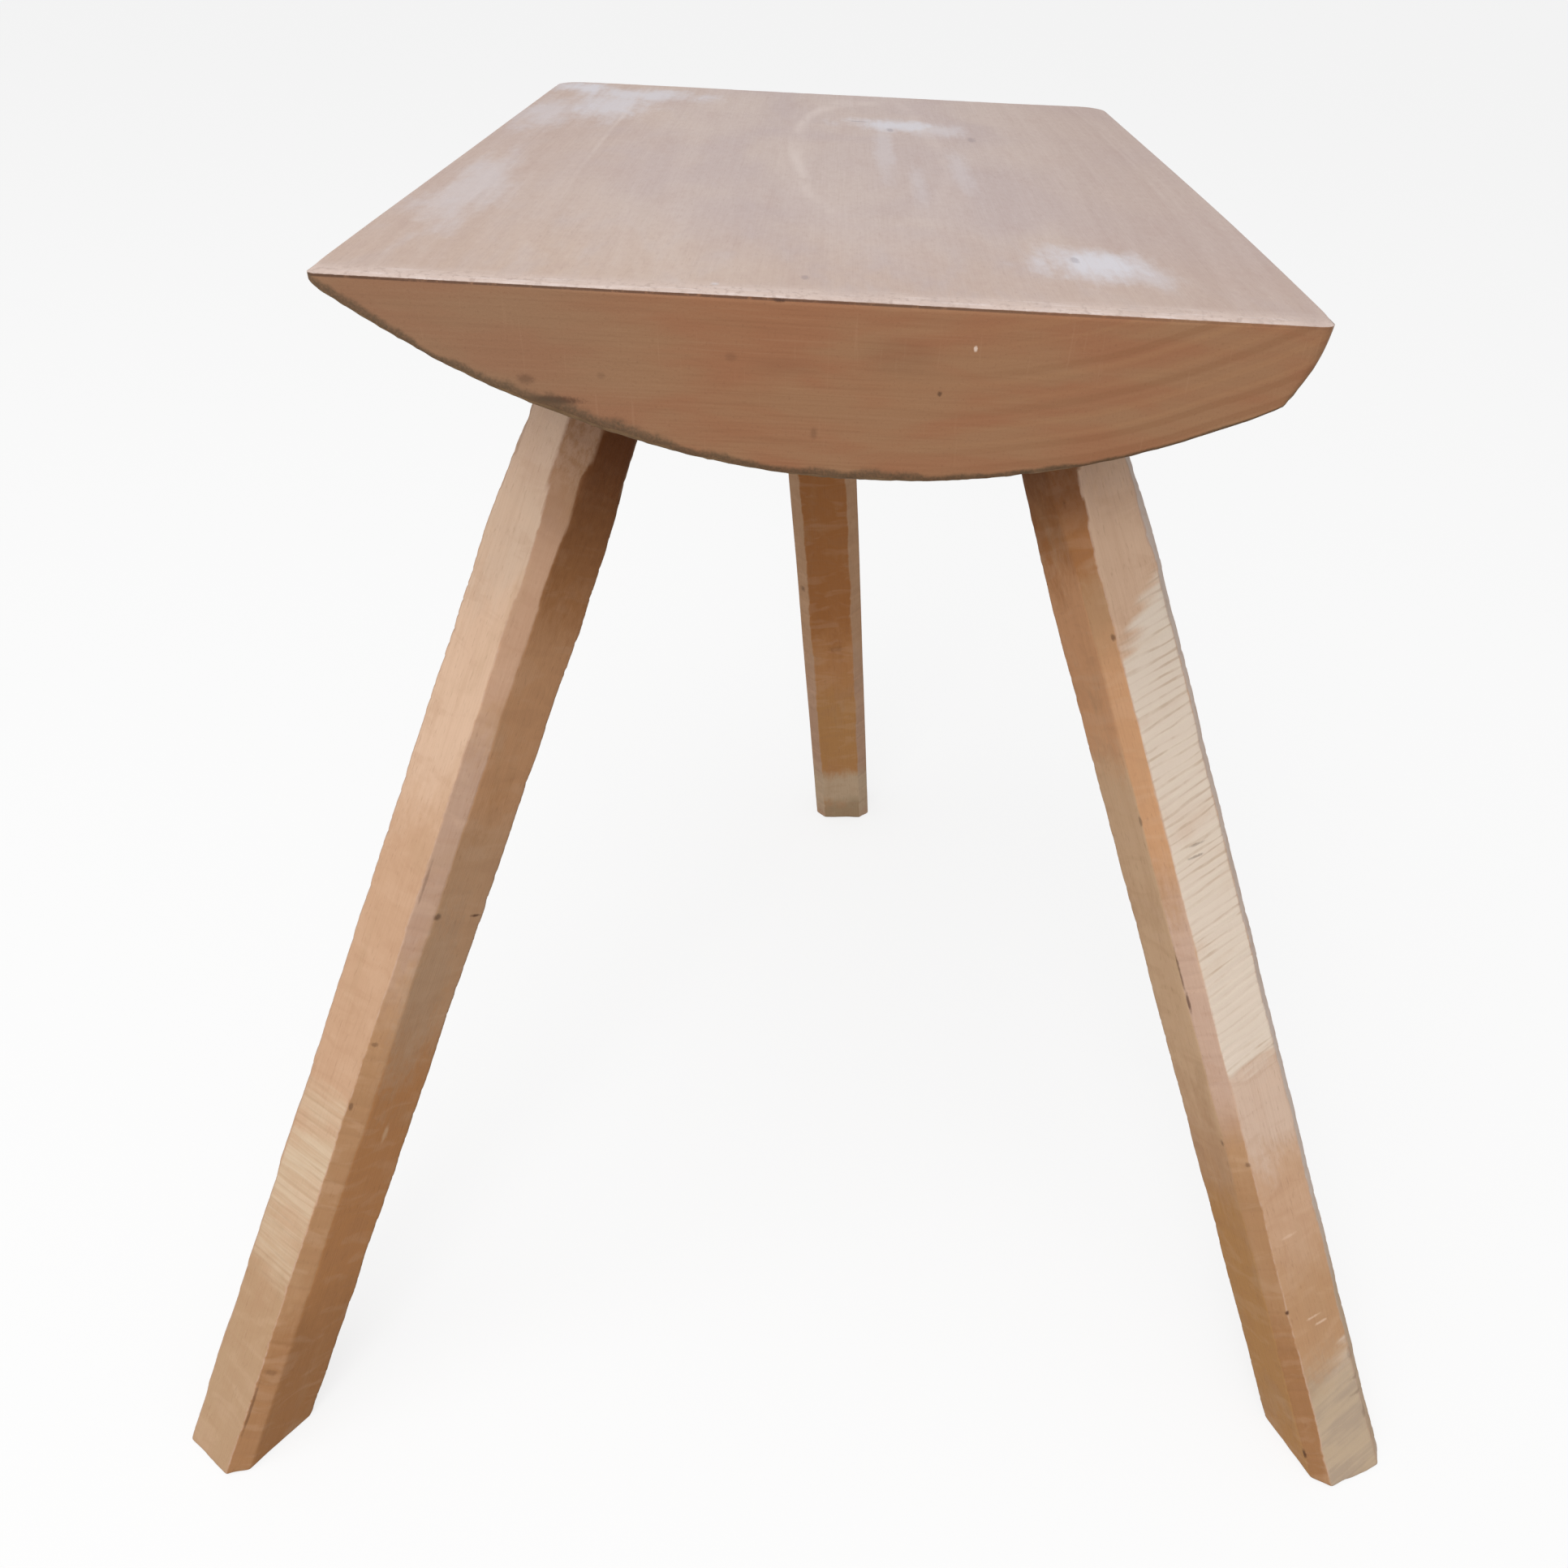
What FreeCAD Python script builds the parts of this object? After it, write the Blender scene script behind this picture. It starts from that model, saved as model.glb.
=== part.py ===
import FreeCAD, Part
import os
import Sketcher

# Three-legged stool: a slab sawn off the side of a log, flat face up, on three raked legs.
# Frame: +Z up, floor at Z = 0, the grain of the seat along Y, the sitter's front at -Y.
# The origin lies on the floor under the middle of the stool's bounding box.
# Each leg is a square stick with its arrises taken off. Its upper end is whittled to a
# cone, split by a saw kerf and driven into a blind mortise over a hidden wedge.

SIZES = {
    # Seat: the front end's width and depth, and what the log's taper leaves at the back
    "seat_height": 450.0,
    "seat_width": 286.0,
    "seat_back_width": 278.0,
    "seat_length": 383.0,
    "seat_back_skew": 21.0,
    "seat_thickness": 53.0,
    "seat_back_thickness": 51.0,
    "belly_offset": 12.2,
    "left_edge_height": 3.8,
    "right_edge_lean": 8.5,
    "saw_allowance": 6.0,
    "seat_front_y": -134.5,
    "seat_middle_x": -2.0,
    # Wear of the seat's corners and rims
    "front_left_corner_radius": 3.0,
    "front_right_corner_radius": 5.0,
    "back_left_corner_radius": 12.0,
    "back_right_corner_radius": 10.0,
    "top_rim_radius": 0.8,
    "belly_rim_chamfer": 2.0,
    # Stick that the legs are cut from
    "leg_side": 36.5,
    "leg_chamfer": 6.0,
    "foot_chamfer": 1.5,
    # Each leg's axis: where it meets the floor and the plane of the seat's top, and its twist
    "left_foot_x": -233.1,
    "left_foot_y": -223.0,
    "left_top_x": -63.0,
    "left_top_y": -7.8,
    "left_twist": 2.0,
    "right_foot_x": 233.1,
    "right_foot_y": -225.3,
    "right_top_x": 61.2,
    "right_top_y": -1.2,
    "right_twist": -13.7,
    "back_foot_x": 18.8,
    "back_foot_y": 227.7,
    "back_top_x": -16.6,
    "back_top_y": 115.5,
    "back_twist": 18.4,
    # Whittled tenon and its blind mortise
    "tenon_tip_diameter": 32.0,
    "tenon_taper_angle": 3.2,
    "tenon_tip_chamfer": 1.5,
    "mortise_clearance": 0.15,
    "mortise_end_gap": 0.3,
    "mortise_cover": 7.0,
    # Wedge in the tenon's kerf
    "kerf_depth": 18.0,
    "kerf_width": 1.4,
    "wedge_length": 16.0,
    "wedge_butt": 3.2,
    "wedge_clearance": 0.1,
    "wedge_end_inset": 1.5,
    # Run-out of cuts past the wood that they clear
    "cut_overrun": 30.0,
}

LEGS = {"left": "front_left", "right": "front_right", "back": "back"}


def make_sheet(doc):
    """Spreadsheet of the driving dimensions, one row each: name and value."""
    sheet = doc.addObject("Spreadsheet::Sheet", "sizes")
    for row, (alias, value) in enumerate(SIZES.items(), start=1):
        sheet.set(f"A{row}", alias)
        sheet.set(f"B{row}", str(value))
        sheet.setAlias(f"B{row}", alias)
    doc.recompute()
    return sheet


def origin_feature(body, role):
    """Plane or axis of the body's own origin, found by its role."""
    return next(f for f in body.Origin.OriginFeatures if f.Role == role)


def new_sketch(body, name, role, offset=None):
    """Empty sketch on one of the body's origin planes, moved by a placement expression."""
    sketch = body.newObject("Sketcher::SketchObject", name)
    sketch.AttachmentSupport = (origin_feature(body, role), [""])
    sketch.MapMode = "FlatFace"
    if offset:
        sketch.setExpression("AttachmentOffset", offset)
    return sketch


def hold_across(sketch, kind, geometry, end, expression):
    """Hold one coordinate of a sketch's point at the place that an expression gives."""
    value = float(sketch.evalExpression(expression))
    index = sketch.addConstraint(Sketcher.Constraint(kind, -1, 1, geometry, end, value))
    sketch.setExpression(f"Constraints[{index}]", expression)


def hold_point(sketch, geometry, end, x, y):
    """Hold a point of a sketch at the place that two expressions give."""
    hold_across(sketch, "DistanceX", geometry, end, x)
    hold_across(sketch, "DistanceY", geometry, end, y)


def place_of(sketch, corner):
    """Point of a sketch from a pair of expressions."""
    x, y = (float(sketch.evalExpression(expression)) for expression in corner)
    return FreeCAD.Vector(x, y, 0)


def add_outline(sketch, corners):
    """Closed outline of straight lines through corners, each a pair of expressions."""
    points = [place_of(sketch, corner) for corner in corners]
    sides = [
        sketch.addGeometry(Part.LineSegment(*ends)) for ends in zip(points, points[1:] + points[:1])
    ]
    for before, after in zip(sides, sides[1:] + sides[:1]):
        sketch.addConstraint(Sketcher.Constraint("Coincident", before, 2, after, 1))
    for side, corner in zip(sides, corners):
        hold_point(sketch, side, 1, *corner)


def add_log_section(sketch, width, thickness):
    """End of the log before its top is sawn flat: a round belly between two edges.

    The belly is an arc of the log. It starts under the thin left edge, touches its lowest
    line at belly_offset and ends where the right edge was trimmed back.
    """
    half = f"sizes.{width} / 2"
    depth = f"(sizes.{thickness} - sizes.left_edge_height)"
    reach = f"({half} + sizes.belly_offset)"
    radius = f"({reach}^2 + {depth}^2) / (2 * {depth})"
    drop = f"{radius} - sizes.{thickness}"
    right = f"({half} - sizes.right_edge_lean)"
    rise = f"sqrt(({radius})^2 - ({right} - sizes.belly_offset)^2)"
    level = "0 * sizes.saw_allowance"
    corners = [
        (right, f"{drop} - {rise}"),
        (half, level),
        (half, "sizes.saw_allowance"),
        (f"-{half}", "sizes.saw_allowance"),
        (f"-{half}", "-sizes.left_edge_height"),
    ]
    points = [place_of(sketch, corner) for corner in corners]
    lowest = place_of(sketch, ("sizes.belly_offset", f"-sizes.{thickness}"))
    belly = sketch.addGeometry(Part.Arc(points[-1], lowest, points[0]))
    sides = [sketch.addGeometry(Part.LineSegment(*ends)) for ends in zip(points, points[1:])]
    loop = [belly, *sides]
    for before, after in zip(loop, [*sides, belly]):
        sketch.addConstraint(Sketcher.Constraint("Coincident", before, 2, after, 1))
    hold_point(sketch, belly, 3, "sizes.belly_offset", drop)
    hold_point(sketch, belly, 1, *corners[-1])
    for side, corner in zip(sides[1:], corners[1:-1]):
        hold_point(sketch, side, 1, *corner)
    hold_across(sketch, "DistanceX", belly, 2, right)


def add_feature(body, kind, name, profile=None):
    """New feature at the tip of a body, made from a sketch where it has one."""
    feature = body.newObject(f"PartDesign::{kind}", name)
    if profile:
        feature.Profile = profile
    return feature


def face_at(shape, x, y, z):
    """Name of the face whose centre is nearest to a point of the body."""
    point = FreeCAD.Vector(x, y, z)
    gaps = [face.CenterOfMass.distanceToPoint(point) for face in shape.Faces]
    return f"Face{gaps.index(min(gaps)) + 1}"


def edges_across(shape, x, y, reach):
    """Names of the edges that run up and down the seat's corner nearest to x, y."""
    names = []
    for number, edge in enumerate(shape.Edges, start=1):
        ends = [vertex.Point for vertex in edge.Vertexes]
        near = all((end.x - x) ** 2 + (end.y - y) ** 2 < reach**2 for end in ends)
        if near and len(ends) == 2 and abs(ends[0].z - ends[1].z) > edge.Length / 2:
            names.append(f"Edge{number}")
    return names


def add_values(doc, name, formulas):
    """Set of derived values: each is a formula of the sheet and of those before it."""
    values = doc.addObject("App::VarSet", name)
    for key, (kind, formula) in formulas.items():
        values.addProperty(f"App::Property{kind}", key, "Derived", "")
        values.setExpression(key, formula)
        doc.recompute()
    return values


def make_tenon_values(doc):
    """Cone that the tenons are whittled to, from its tip down to the square stick's corner."""
    add_values(doc, "cone", {
        "tip_radius": ("Float", "sizes.tenon_tip_diameter / 2"),
        "root_radius": ("Float", "sizes.leg_side / sqrt(2)"),
        "length": ("Float", "(cone.root_radius - cone.tip_radius) / tan(sizes.tenon_taper_angle)"),
        "mortise_length": ("Float", "cone.length + sizes.mortise_end_gap"),
        "mortise_root": ("Float", "cone.root_radius + sizes.mortise_clearance"),
        "mortise_tip": (
            "Float",
            "cone.mortise_root - cone.mortise_length * tan(sizes.tenon_taper_angle)",
        ),
        "kerf_mouth": ("Float", "sizes.wedge_butt / 2 + sizes.wedge_clearance"),
        "kerf_root": ("Float", "sizes.kerf_width / 2"),
        "wedge_toe": (
            "Float",
            "cone.kerf_mouth - sizes.wedge_clearance"
            " - (cone.kerf_mouth - cone.kerf_root) * sizes.wedge_length / sizes.kerf_depth",
        ),
    })


def make_axis(doc, leg):
    """Values of one leg's axis: its heading, its lean and how far its wood and cuts reach.

    The axis runs from the floor to the plane of the seat's top. mortise_reach is the
    distance along it from the floor to the mortise's flat end, placed so that the end's
    highest edge stays mortise_cover below the seat's top.
    """
    name = f"{leg}_axis"
    run_x = f"(sizes.{leg}_top_x - sizes.{leg}_foot_x)"
    run_y = f"(sizes.{leg}_top_y - sizes.{leg}_foot_y)"
    ceiling = "(sizes.seat_height - sizes.mortise_cover)"
    add_values(doc, name, {
        "heading": ("Angle", f"atan2({run_y}; {run_x})"),
        "lean": ("Angle", f"atan(hypot({run_x}; {run_y}) / sizes.seat_height)"),
        "mortise_reach": ("Float", f"({ceiling} - cone.mortise_tip * sin({name}.lean)) / cos({name}.lean)"),
        "tenon_reach": ("Float", f"{name}.mortise_reach - sizes.mortise_end_gap"),
        "cone_start": ("Float", f"{name}.tenon_reach - cone.length"),
        "foot_overrun": ("Float", f"sizes.leg_side * tan({name}.lean)"),
    })


def leg_placement(leg):
    """Expression that stands a body's Z on the leg's axis, its origin at the foot's middle."""
    foot = f"vector(sizes.{leg}_foot_x; sizes.{leg}_foot_y; 0)"
    return f"placement({foot}; rotation({leg}_axis.heading; {leg}_axis.lean; 0))"


def mortise_placement(leg):
    """Expression that lays a mortise's cone on the leg's axis, in the seat's own frame."""
    axis = f"{leg}_axis"
    along = f"{axis}.cone_start * sin({axis}.lean)"
    x = f"sizes.{leg}_foot_x - sizes.seat_middle_x + {along} * cos({axis}.heading)"
    y = f"sizes.{leg}_foot_y - sizes.seat_front_y + {along} * sin({axis}.heading)"
    z = f"{axis}.cone_start * cos({axis}.lean) - sizes.seat_height"
    return f"placement(vector({x}; {y}; {z}); rotation({axis}.heading; {axis}.lean; 0))"


def new_body(doc, label, placement):
    """Body with a label, placed by an expression."""
    body = doc.addObject("PartDesign::Body", label)
    body.Label = label
    body.setExpression("Placement", placement)
    return body


def saw_seat(doc, body):
    """Slab between the log's two ends, sawn flat on top and askew at the back."""
    front = new_sketch(body, "front_end", "XZ_Plane")
    add_log_section(front, "seat_width", "seat_thickness")
    along = "placement(vector(0; 0; -sizes.seat_length); rotation(0; 0; 0))"
    back = new_sketch(body, "back_end", "XZ_Plane", along)
    add_log_section(back, "seat_back_width", "seat_back_thickness")
    doc.recompute()
    log = add_feature(body, "AdditiveLoft", "log_piece", front)
    log.Sections = [back]
    log.Ruled = True
    doc.recompute()

    outside = "(sizes.seat_width / 2 + sizes.cut_overrun)"
    ahead = "-sizes.cut_overrun"
    behind = "sizes.seat_length + sizes.cut_overrun"
    flat = new_sketch(body, "top_saw_plane", "XY_Plane")
    around = [(f"-{outside}", ahead), (outside, ahead), (outside, behind), (f"-{outside}", behind)]
    add_outline(flat, around)
    rip = add_feature(body, "Pocket", "top_saw_cut", flat)
    rip.Type = "ThroughAll"
    rip.Reversed = True
    doc.recompute()

    skew = "sizes.seat_back_skew / sizes.seat_back_width"
    middle = "(sizes.seat_length - sizes.seat_back_skew / 2)"
    line = new_sketch(body, "back_saw_line", "XY_Plane")
    add_outline(line, [
        (f"-{outside}", f"{middle} - {skew} * {outside}"),
        (outside, f"{middle} + {skew} * {outside}"),
        (outside, f"{behind} + sizes.seat_back_skew"),
        (f"-{outside}", f"{behind} + sizes.seat_back_skew"),
    ])
    crosscut = add_feature(body, "Pocket", "back_saw_cut", line)
    crosscut.Type = "ThroughAll"
    doc.recompute()


def wear_seat(doc, body):
    """Rounded corners, a softened top rim and a chamfer all round the belly."""
    value = body.evalExpression
    half = value("sizes.seat_width / 2")
    back_half = value("sizes.seat_back_width / 2")
    length = value("sizes.seat_length")
    corners = {
        "front_left": (-half, 0),
        "front_right": (half, 0),
        "back_left": (-back_half, length - value("sizes.seat_back_skew")),
        "back_right": (back_half, length),
    }
    reach = value("sizes.right_edge_lean * 2")
    before = body.Group[-1]
    for corner, (x, y) in corners.items():
        rounding = add_feature(body, "Fillet", f"{corner}_corner")
        rounding.Base = (before, edges_across(before.Shape, x, y, reach))
        rounding.setExpression("Radius", f"sizes.{corner}_corner_radius")
        doc.recompute()
        before = rounding

    middle = value("sizes.belly_offset")
    depth = value("sizes.seat_thickness")
    belly_rim = add_feature(body, "Chamfer", "belly_rim")
    belly_rim.Base = (before, [face_at(before.Shape, middle, length / 2, -depth)])
    belly_rim.setExpression("Size", "sizes.belly_rim_chamfer")
    doc.recompute()
    top_rim = add_feature(body, "Fillet", "top_rim")
    top_rim.Base = (belly_rim, [face_at(belly_rim.Shape, 0, length / 2, 0)])
    top_rim.setExpression("Radius", "sizes.top_rim_radius")
    doc.recompute()


def make_seat(doc):
    """Seat slab with a blind, tapered mortise for each leg, bored from below."""
    place = "vector(sizes.seat_middle_x; sizes.seat_front_y; sizes.seat_height)"
    body = new_body(doc, "seat_slab", f"placement({place}; rotation(0; 0; 0))")
    saw_seat(doc, body)
    wear_seat(doc, body)
    for leg, node in LEGS.items():
        mortise = add_feature(body, "SubtractiveCone", f"{node}_mortise")
        mortise.setExpression("Radius1", "cone.mortise_root")
        mortise.setExpression("Radius2", "cone.mortise_tip")
        mortise.setExpression("Height", "cone.mortise_length")
        mortise.setExpression("Placement", mortise_placement(leg))
        doc.recompute()
    return body


def make_leg(doc, leg, node):
    """Square stick with chamfered arrises, sawn level at the foot and whittled at the top."""
    axis = f"{leg}_axis"
    body = new_body(doc, f"{node}_leg", leg_placement(leg))

    section_place = f"placement(vector(0; 0; -{axis}.foot_overrun); rotation(sizes.{leg}_twist; 0; 0))"
    section = new_sketch(body, f"{node}_stick_section", "XY_Plane", section_place)
    flat = "sizes.leg_side / 2"
    arris = f"({flat} - sizes.leg_chamfer)"
    add_outline(section, [
        (arris, f"-{flat}"),
        (flat, f"-{arris}"),
        (flat, arris),
        (arris, flat),
        (f"-{arris}", flat),
        (f"-{flat}", arris),
        (f"-{flat}", f"-{arris}"),
        (f"-{arris}", f"-{flat}"),
    ])
    stick = add_feature(body, "Pad", f"{node}_stick", section)
    stick.setExpression("Length", f"{axis}.foot_overrun + {axis}.tenon_reach")
    doc.recompute()

    level = f"placement(vector(0; 0; 0); rotation(0; -{axis}.lean; 0))"
    floor = new_sketch(body, f"{node}_foot_line", "XY_Plane", level)
    wide = "2 * sizes.leg_side"
    add_outline(floor, [(f"-{wide}", f"-{wide}"), (wide, f"-{wide}"), (wide, wide), (f"-{wide}", wide)])
    foot = add_feature(body, "Pocket", f"{node}_foot_cut", floor)
    foot.Type = "ThroughAll"
    doc.recompute()

    profile = new_sketch(body, f"{node}_cone_profile", "XZ_Plane")
    add_outline(profile, [
        ("cone.tip_radius", f"{axis}.tenon_reach"),
        ("cone.root_radius", f"{axis}.cone_start"),
        ("cone.root_radius", f"{axis}.tenon_reach"),
    ])
    whittled = add_feature(body, "Groove", f"{node}_whittled_cone", profile)
    whittled.ReferenceAxis = (profile, ["V_Axis"])
    doc.recompute()

    reach = body.evalExpression(f"{axis}.tenon_reach")
    tip = add_feature(body, "Chamfer", f"{node}_tenon_tip")
    tip.Base = (whittled, [face_at(whittled.Shape, 0, 0, reach)])
    tip.setExpression("Size", "sizes.tenon_tip_chamfer")
    doc.recompute()
    worn = add_feature(body, "Chamfer", f"{node}_foot_rim")
    worn.Base = (tip, [face_at(tip.Shape, 0, 0, 0)])
    worn.setExpression("Size", "sizes.foot_chamfer")
    doc.recompute()

    across = f"placement(vector(0; 0; 0); rotation(0; -{axis}.heading; 0))"
    split = new_sketch(body, f"{node}_kerf_profile", "YZ_Plane", across)
    end = f"{axis}.tenon_reach"
    add_outline(split, [
        ("-cone.kerf_root", f"{end} - sizes.kerf_depth"),
        ("cone.kerf_root", f"{end} - sizes.kerf_depth"),
        ("cone.kerf_mouth", end),
        ("-cone.kerf_mouth", end),
    ])
    kerf = add_feature(body, "Pocket", f"{node}_kerf", split)
    kerf.SideType = "Symmetric"
    kerf.setExpression("Length", "2 * sizes.leg_side")
    doc.recompute()
    return body


def make_wedge(doc, leg, node):
    """Wedge that fills a tenon's kerf and spreads it, its butt level with the tenon's tip."""
    axis = f"{leg}_axis"
    body = new_body(doc, f"{node}_wedge", leg_placement(leg))
    across = f"placement(vector(0; 0; 0); rotation(0; -{axis}.heading; 0))"
    profile = new_sketch(body, f"{node}_wedge_profile", "YZ_Plane", across)
    end = f"{axis}.tenon_reach"
    butt = "sizes.wedge_butt / 2"
    add_outline(profile, [
        ("-cone.wedge_toe", f"{end} - sizes.wedge_length"),
        ("cone.wedge_toe", f"{end} - sizes.wedge_length"),
        (butt, end),
        (f"-{butt}", end),
    ])
    split = add_feature(body, "Pad", f"{node}_wedge_pad", profile)
    split.SideType = "Symmetric"
    split.setExpression("Length", "sizes.tenon_tip_diameter - 2 * sizes.wedge_end_inset")
    doc.recompute()
    return body


def check_and_write(doc, bodies):
    """Stop on a failed object or a bad shape, then write each body to its own file."""
    for obj in doc.Objects:
        if "Invalid" in obj.State or "Error" in obj.State:
            raise RuntimeError(f"{obj.Name} failed: {obj.State}")
    for body in bodies:
        if body.Shape.isNull() or not body.Shape.isValid() or len(body.Shape.Solids) != 1:
            raise RuntimeError(f"{body.Label} is not one good solid")
    os.makedirs("parts", exist_ok=True)
    for body in bodies:
        body.Shape.exportStep(os.path.join("parts", f"{body.Label}.step"))
        box = body.Shape.BoundBox
        print(f"{body.Label}: {body.Shape.Volume:.0f} mm3, {box}")


doc = FreeCAD.newDocument("stool")
make_sheet(doc)
make_tenon_values(doc)
for leg in LEGS:
    make_axis(doc, leg)
bodies = [make_seat(doc)]
bodies += [make_leg(doc, leg, node) for leg, node in LEGS.items()]
bodies += [make_wedge(doc, leg, node) for leg, node in LEGS.items()]
doc.recompute()
check_and_write(doc, bodies)
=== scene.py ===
"""Three-legged stool: a half-log seat on three raked square legs, all bare wood.

Sizes are in millimetres and angles in degrees. Each shape is worked out as whole arrays in
millimetres and put into its mesh in metres, in the frame of the CAD model.
"""
import math

import bpy
import numpy as np
from mathutils import Matrix, Vector


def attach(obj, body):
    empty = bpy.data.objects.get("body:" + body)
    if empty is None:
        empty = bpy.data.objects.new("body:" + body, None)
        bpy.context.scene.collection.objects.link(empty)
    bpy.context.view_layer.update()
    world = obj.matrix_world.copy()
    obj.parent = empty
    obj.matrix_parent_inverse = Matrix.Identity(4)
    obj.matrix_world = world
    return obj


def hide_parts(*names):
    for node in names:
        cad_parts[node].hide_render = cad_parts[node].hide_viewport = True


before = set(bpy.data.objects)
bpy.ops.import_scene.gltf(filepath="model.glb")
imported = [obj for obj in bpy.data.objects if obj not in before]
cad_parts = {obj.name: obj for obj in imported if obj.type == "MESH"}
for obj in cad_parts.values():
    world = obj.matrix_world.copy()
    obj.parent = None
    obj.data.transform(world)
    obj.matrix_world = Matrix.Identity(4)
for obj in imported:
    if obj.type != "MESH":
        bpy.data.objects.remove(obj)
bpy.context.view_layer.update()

MM = 0.001
TURN = 2 * np.pi

# Picture and camera
PICTURE_SIDE = 1932
CAMERA = {
    "place": (-2.5, -490.7, 546.5), "yaw": -3.513, "down": 37.124, "roll": 4.049,
    "focal_pixels": 1526.65, "centre_pixels": (1076.8, 987.5),
}

# Seat slab, in its own frame: x across, y along the grain from the front end, z up from the top
SEAT_PLACE = (-2.0, -134.5, 450.0)
SEAT = {
    "width": 286.0, "back_width": 278.0, "length": 383.0, "back_skew": 21.0, "thickness": 53.0,
    "back_thickness": 51.0, "belly_offset": 12.2, "left_edge": 3.8, "right_lean": 8.0,
    "right_bulge": 1.7, "right_swell": 1.7,
}
CORNER_RADII = {"front_left": 3.0, "front_right": 4.5, "back_left": 12.0, "back_right": 13.0}
TOP_ARRIS = {"inset": 0.9, "front_inset": 3.4, "front_fade": 7.0, "drop": 0.8}
LOW_ARRIS = {"plain": 0.6, "left": 1.5, "chip": 2.6, "middle": 1.5}
# Depth of each kind of unevenness on the slab
SLAB_RELIEF = {
    "fibre": 0.05, "hollow": 0.25, "saw": 0.05, "knife": 0.7, "scar": 0.3, "low_rim": 0.4,
    "top_rim": 0.1, "crumb": 0.16,
}
# Lines of the slab's lattice and how they crowd towards its rims, and rows of its wall
SEAT_LINES = {"across": (216, 0.25), "along": (132, 0.86)}
WALL_ROWS = {"top": 8, "side": 25, "low": 8}

# Legs, each in a frame that runs up its axis from the middle of its foot
LEG_SIDE = 36.5
LEG_CHAMFER = 5.5
TENON = {"tip_radius": 16.0, "taper": 3.2, "chamfer": 1.5, "clearance": 0.15, "end_gap": 0.3}
KERF = {"depth": 18.0, "mouth": 3.4, "root": 1.45}
LEGS = {
    "front_left": {"foot": (-233.1, -223.0), "top": (-63.0, -7.8), "twist": 2.0, "reach": 508.8},
    "front_right": {"foot": (233.1, -225.3), "top": (61.2, -1.2), "twist": -13.7, "reach": 512.5},
    "back": {"foot": (18.8, 227.7), "top": (-16.6, 115.5), "twist": 18.4, "reach": 453.4},
}


# Uneven values that are the same on each run


def ripple(seed, *fields):
    """Smooth unevenness, mostly between -1 and 1.

    The sum of twelve sine waves, three in each of four octaves. Each wave runs along a seeded
    mix of the fields, and each octave is twice as fine and half as strong as the one before.
    """
    draw = np.random.default_rng(seed)
    total = 0.0
    for octave in range(4):
        for _ in range(3):
            paces = draw.uniform(0.5, 1.3, len(fields)) * draw.choice([-1, 1], len(fields))
            angle = draw.uniform(0, TURN)
            for pace, field in zip(paces, fields):
                angle = angle + TURN * 2**octave * pace * field
            total = total + np.sin(angle) / 2**octave
    return total / 2.6


def rolling(seed, *fields):
    """The same unevenness, mostly between 0 and 1."""
    return 0.5 + 0.5 * ripple(seed, *fields)


def bump_at(distance, reach):
    """Soft spot: 1 in its middle and falling off as exp(-(distance / reach) squared)."""
    return np.exp(-((distance / reach) ** 2))


def eased(value, low, high):
    """0 below low, 1 above high, and the cubic 3 t^2 - 2 t^3 between them."""
    t = np.clip((value - low) / (high - low), 0, 1)
    return t * t * (3 - 2 * t)


# Meshes


def squares(grid):
    """Four-cornered faces between neighbouring rows and columns of a lattice of numbers."""
    corners = (grid[:-1, :-1], grid[1:, :-1], grid[1:, 1:], grid[:-1, 1:])
    return np.stack(corners, axis=-1).reshape(-1, 4)


def put_piece(name, points, faces):
    """Object at the origin whose mesh holds the points, given in millimetres."""
    mesh = bpy.data.meshes.new(name)
    mesh.from_pydata((points * MM).tolist(), [], [f for part in faces for f in part.tolist()])
    mesh.shade_smooth()
    mesh.update()
    piece = bpy.data.objects.new(name, mesh)
    bpy.context.scene.collection.objects.link(piece)
    return piece


def keep_values(piece, name, values):
    """Store one number for each vertex, for the material to read."""
    layer = piece.data.attributes.new(name, "FLOAT", "POINT")
    layer.data.foreach_set("value", np.asarray(values, dtype=np.float32).ravel())


def cut_away(piece, cutters):
    """Take the cutters out of the piece, exactly, and remove them."""
    for cutter in cutters:
        cut = piece.modifiers.new("cut", "BOOLEAN")
        cut.operation = "DIFFERENCE"
        cut.solver = "EXACT"
        cut.object = cutter
    graph = bpy.context.evaluated_depsgraph_get()
    carved = bpy.data.meshes.new_from_object(piece.evaluated_get(graph))
    piece.modifiers.clear()
    piece.data = carved
    for cutter in cutters:
        bpy.data.objects.remove(cutter)


def sleeve(rows):
    """Points and faces of a stack of rings that rises along +z, its ends closed by fans."""
    count, around = rows.shape[:2]
    ring = np.arange(count * around).reshape(count, around)
    joined = np.hstack([ring, ring[:, :1]])
    points = np.vstack([rows.reshape(-1, 3), rows[0].mean(axis=0), rows[-1].mean(axis=0)])
    low = np.full(around, len(points) - 2)
    high = low + 1
    foot = np.stack([low, joined[0, 1:], joined[0, :-1]], axis=-1)
    tip = np.stack([high, joined[-1, :-1], joined[-1, 1:]], axis=-1)
    return points, [squares(joined.T), foot, tip]


# Seat slab


def log_section(along):
    """Half width, thickness and belly radius of the slab at a share of its length."""
    half = (SEAT["width"] + along * (SEAT["back_width"] - SEAT["width"])) / 2
    thick = SEAT["thickness"] + along * (SEAT["back_thickness"] - SEAT["thickness"])
    depth = thick - SEAT["left_edge"]
    reach = half + SEAT["belly_offset"]
    return half, thick, (reach**2 + depth**2) / (2 * depth)


def ring_middle():
    """Height of the log's middle line above the seat's top, at the front end."""
    return log_section(0)[2] - SEAT["thickness"]


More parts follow.
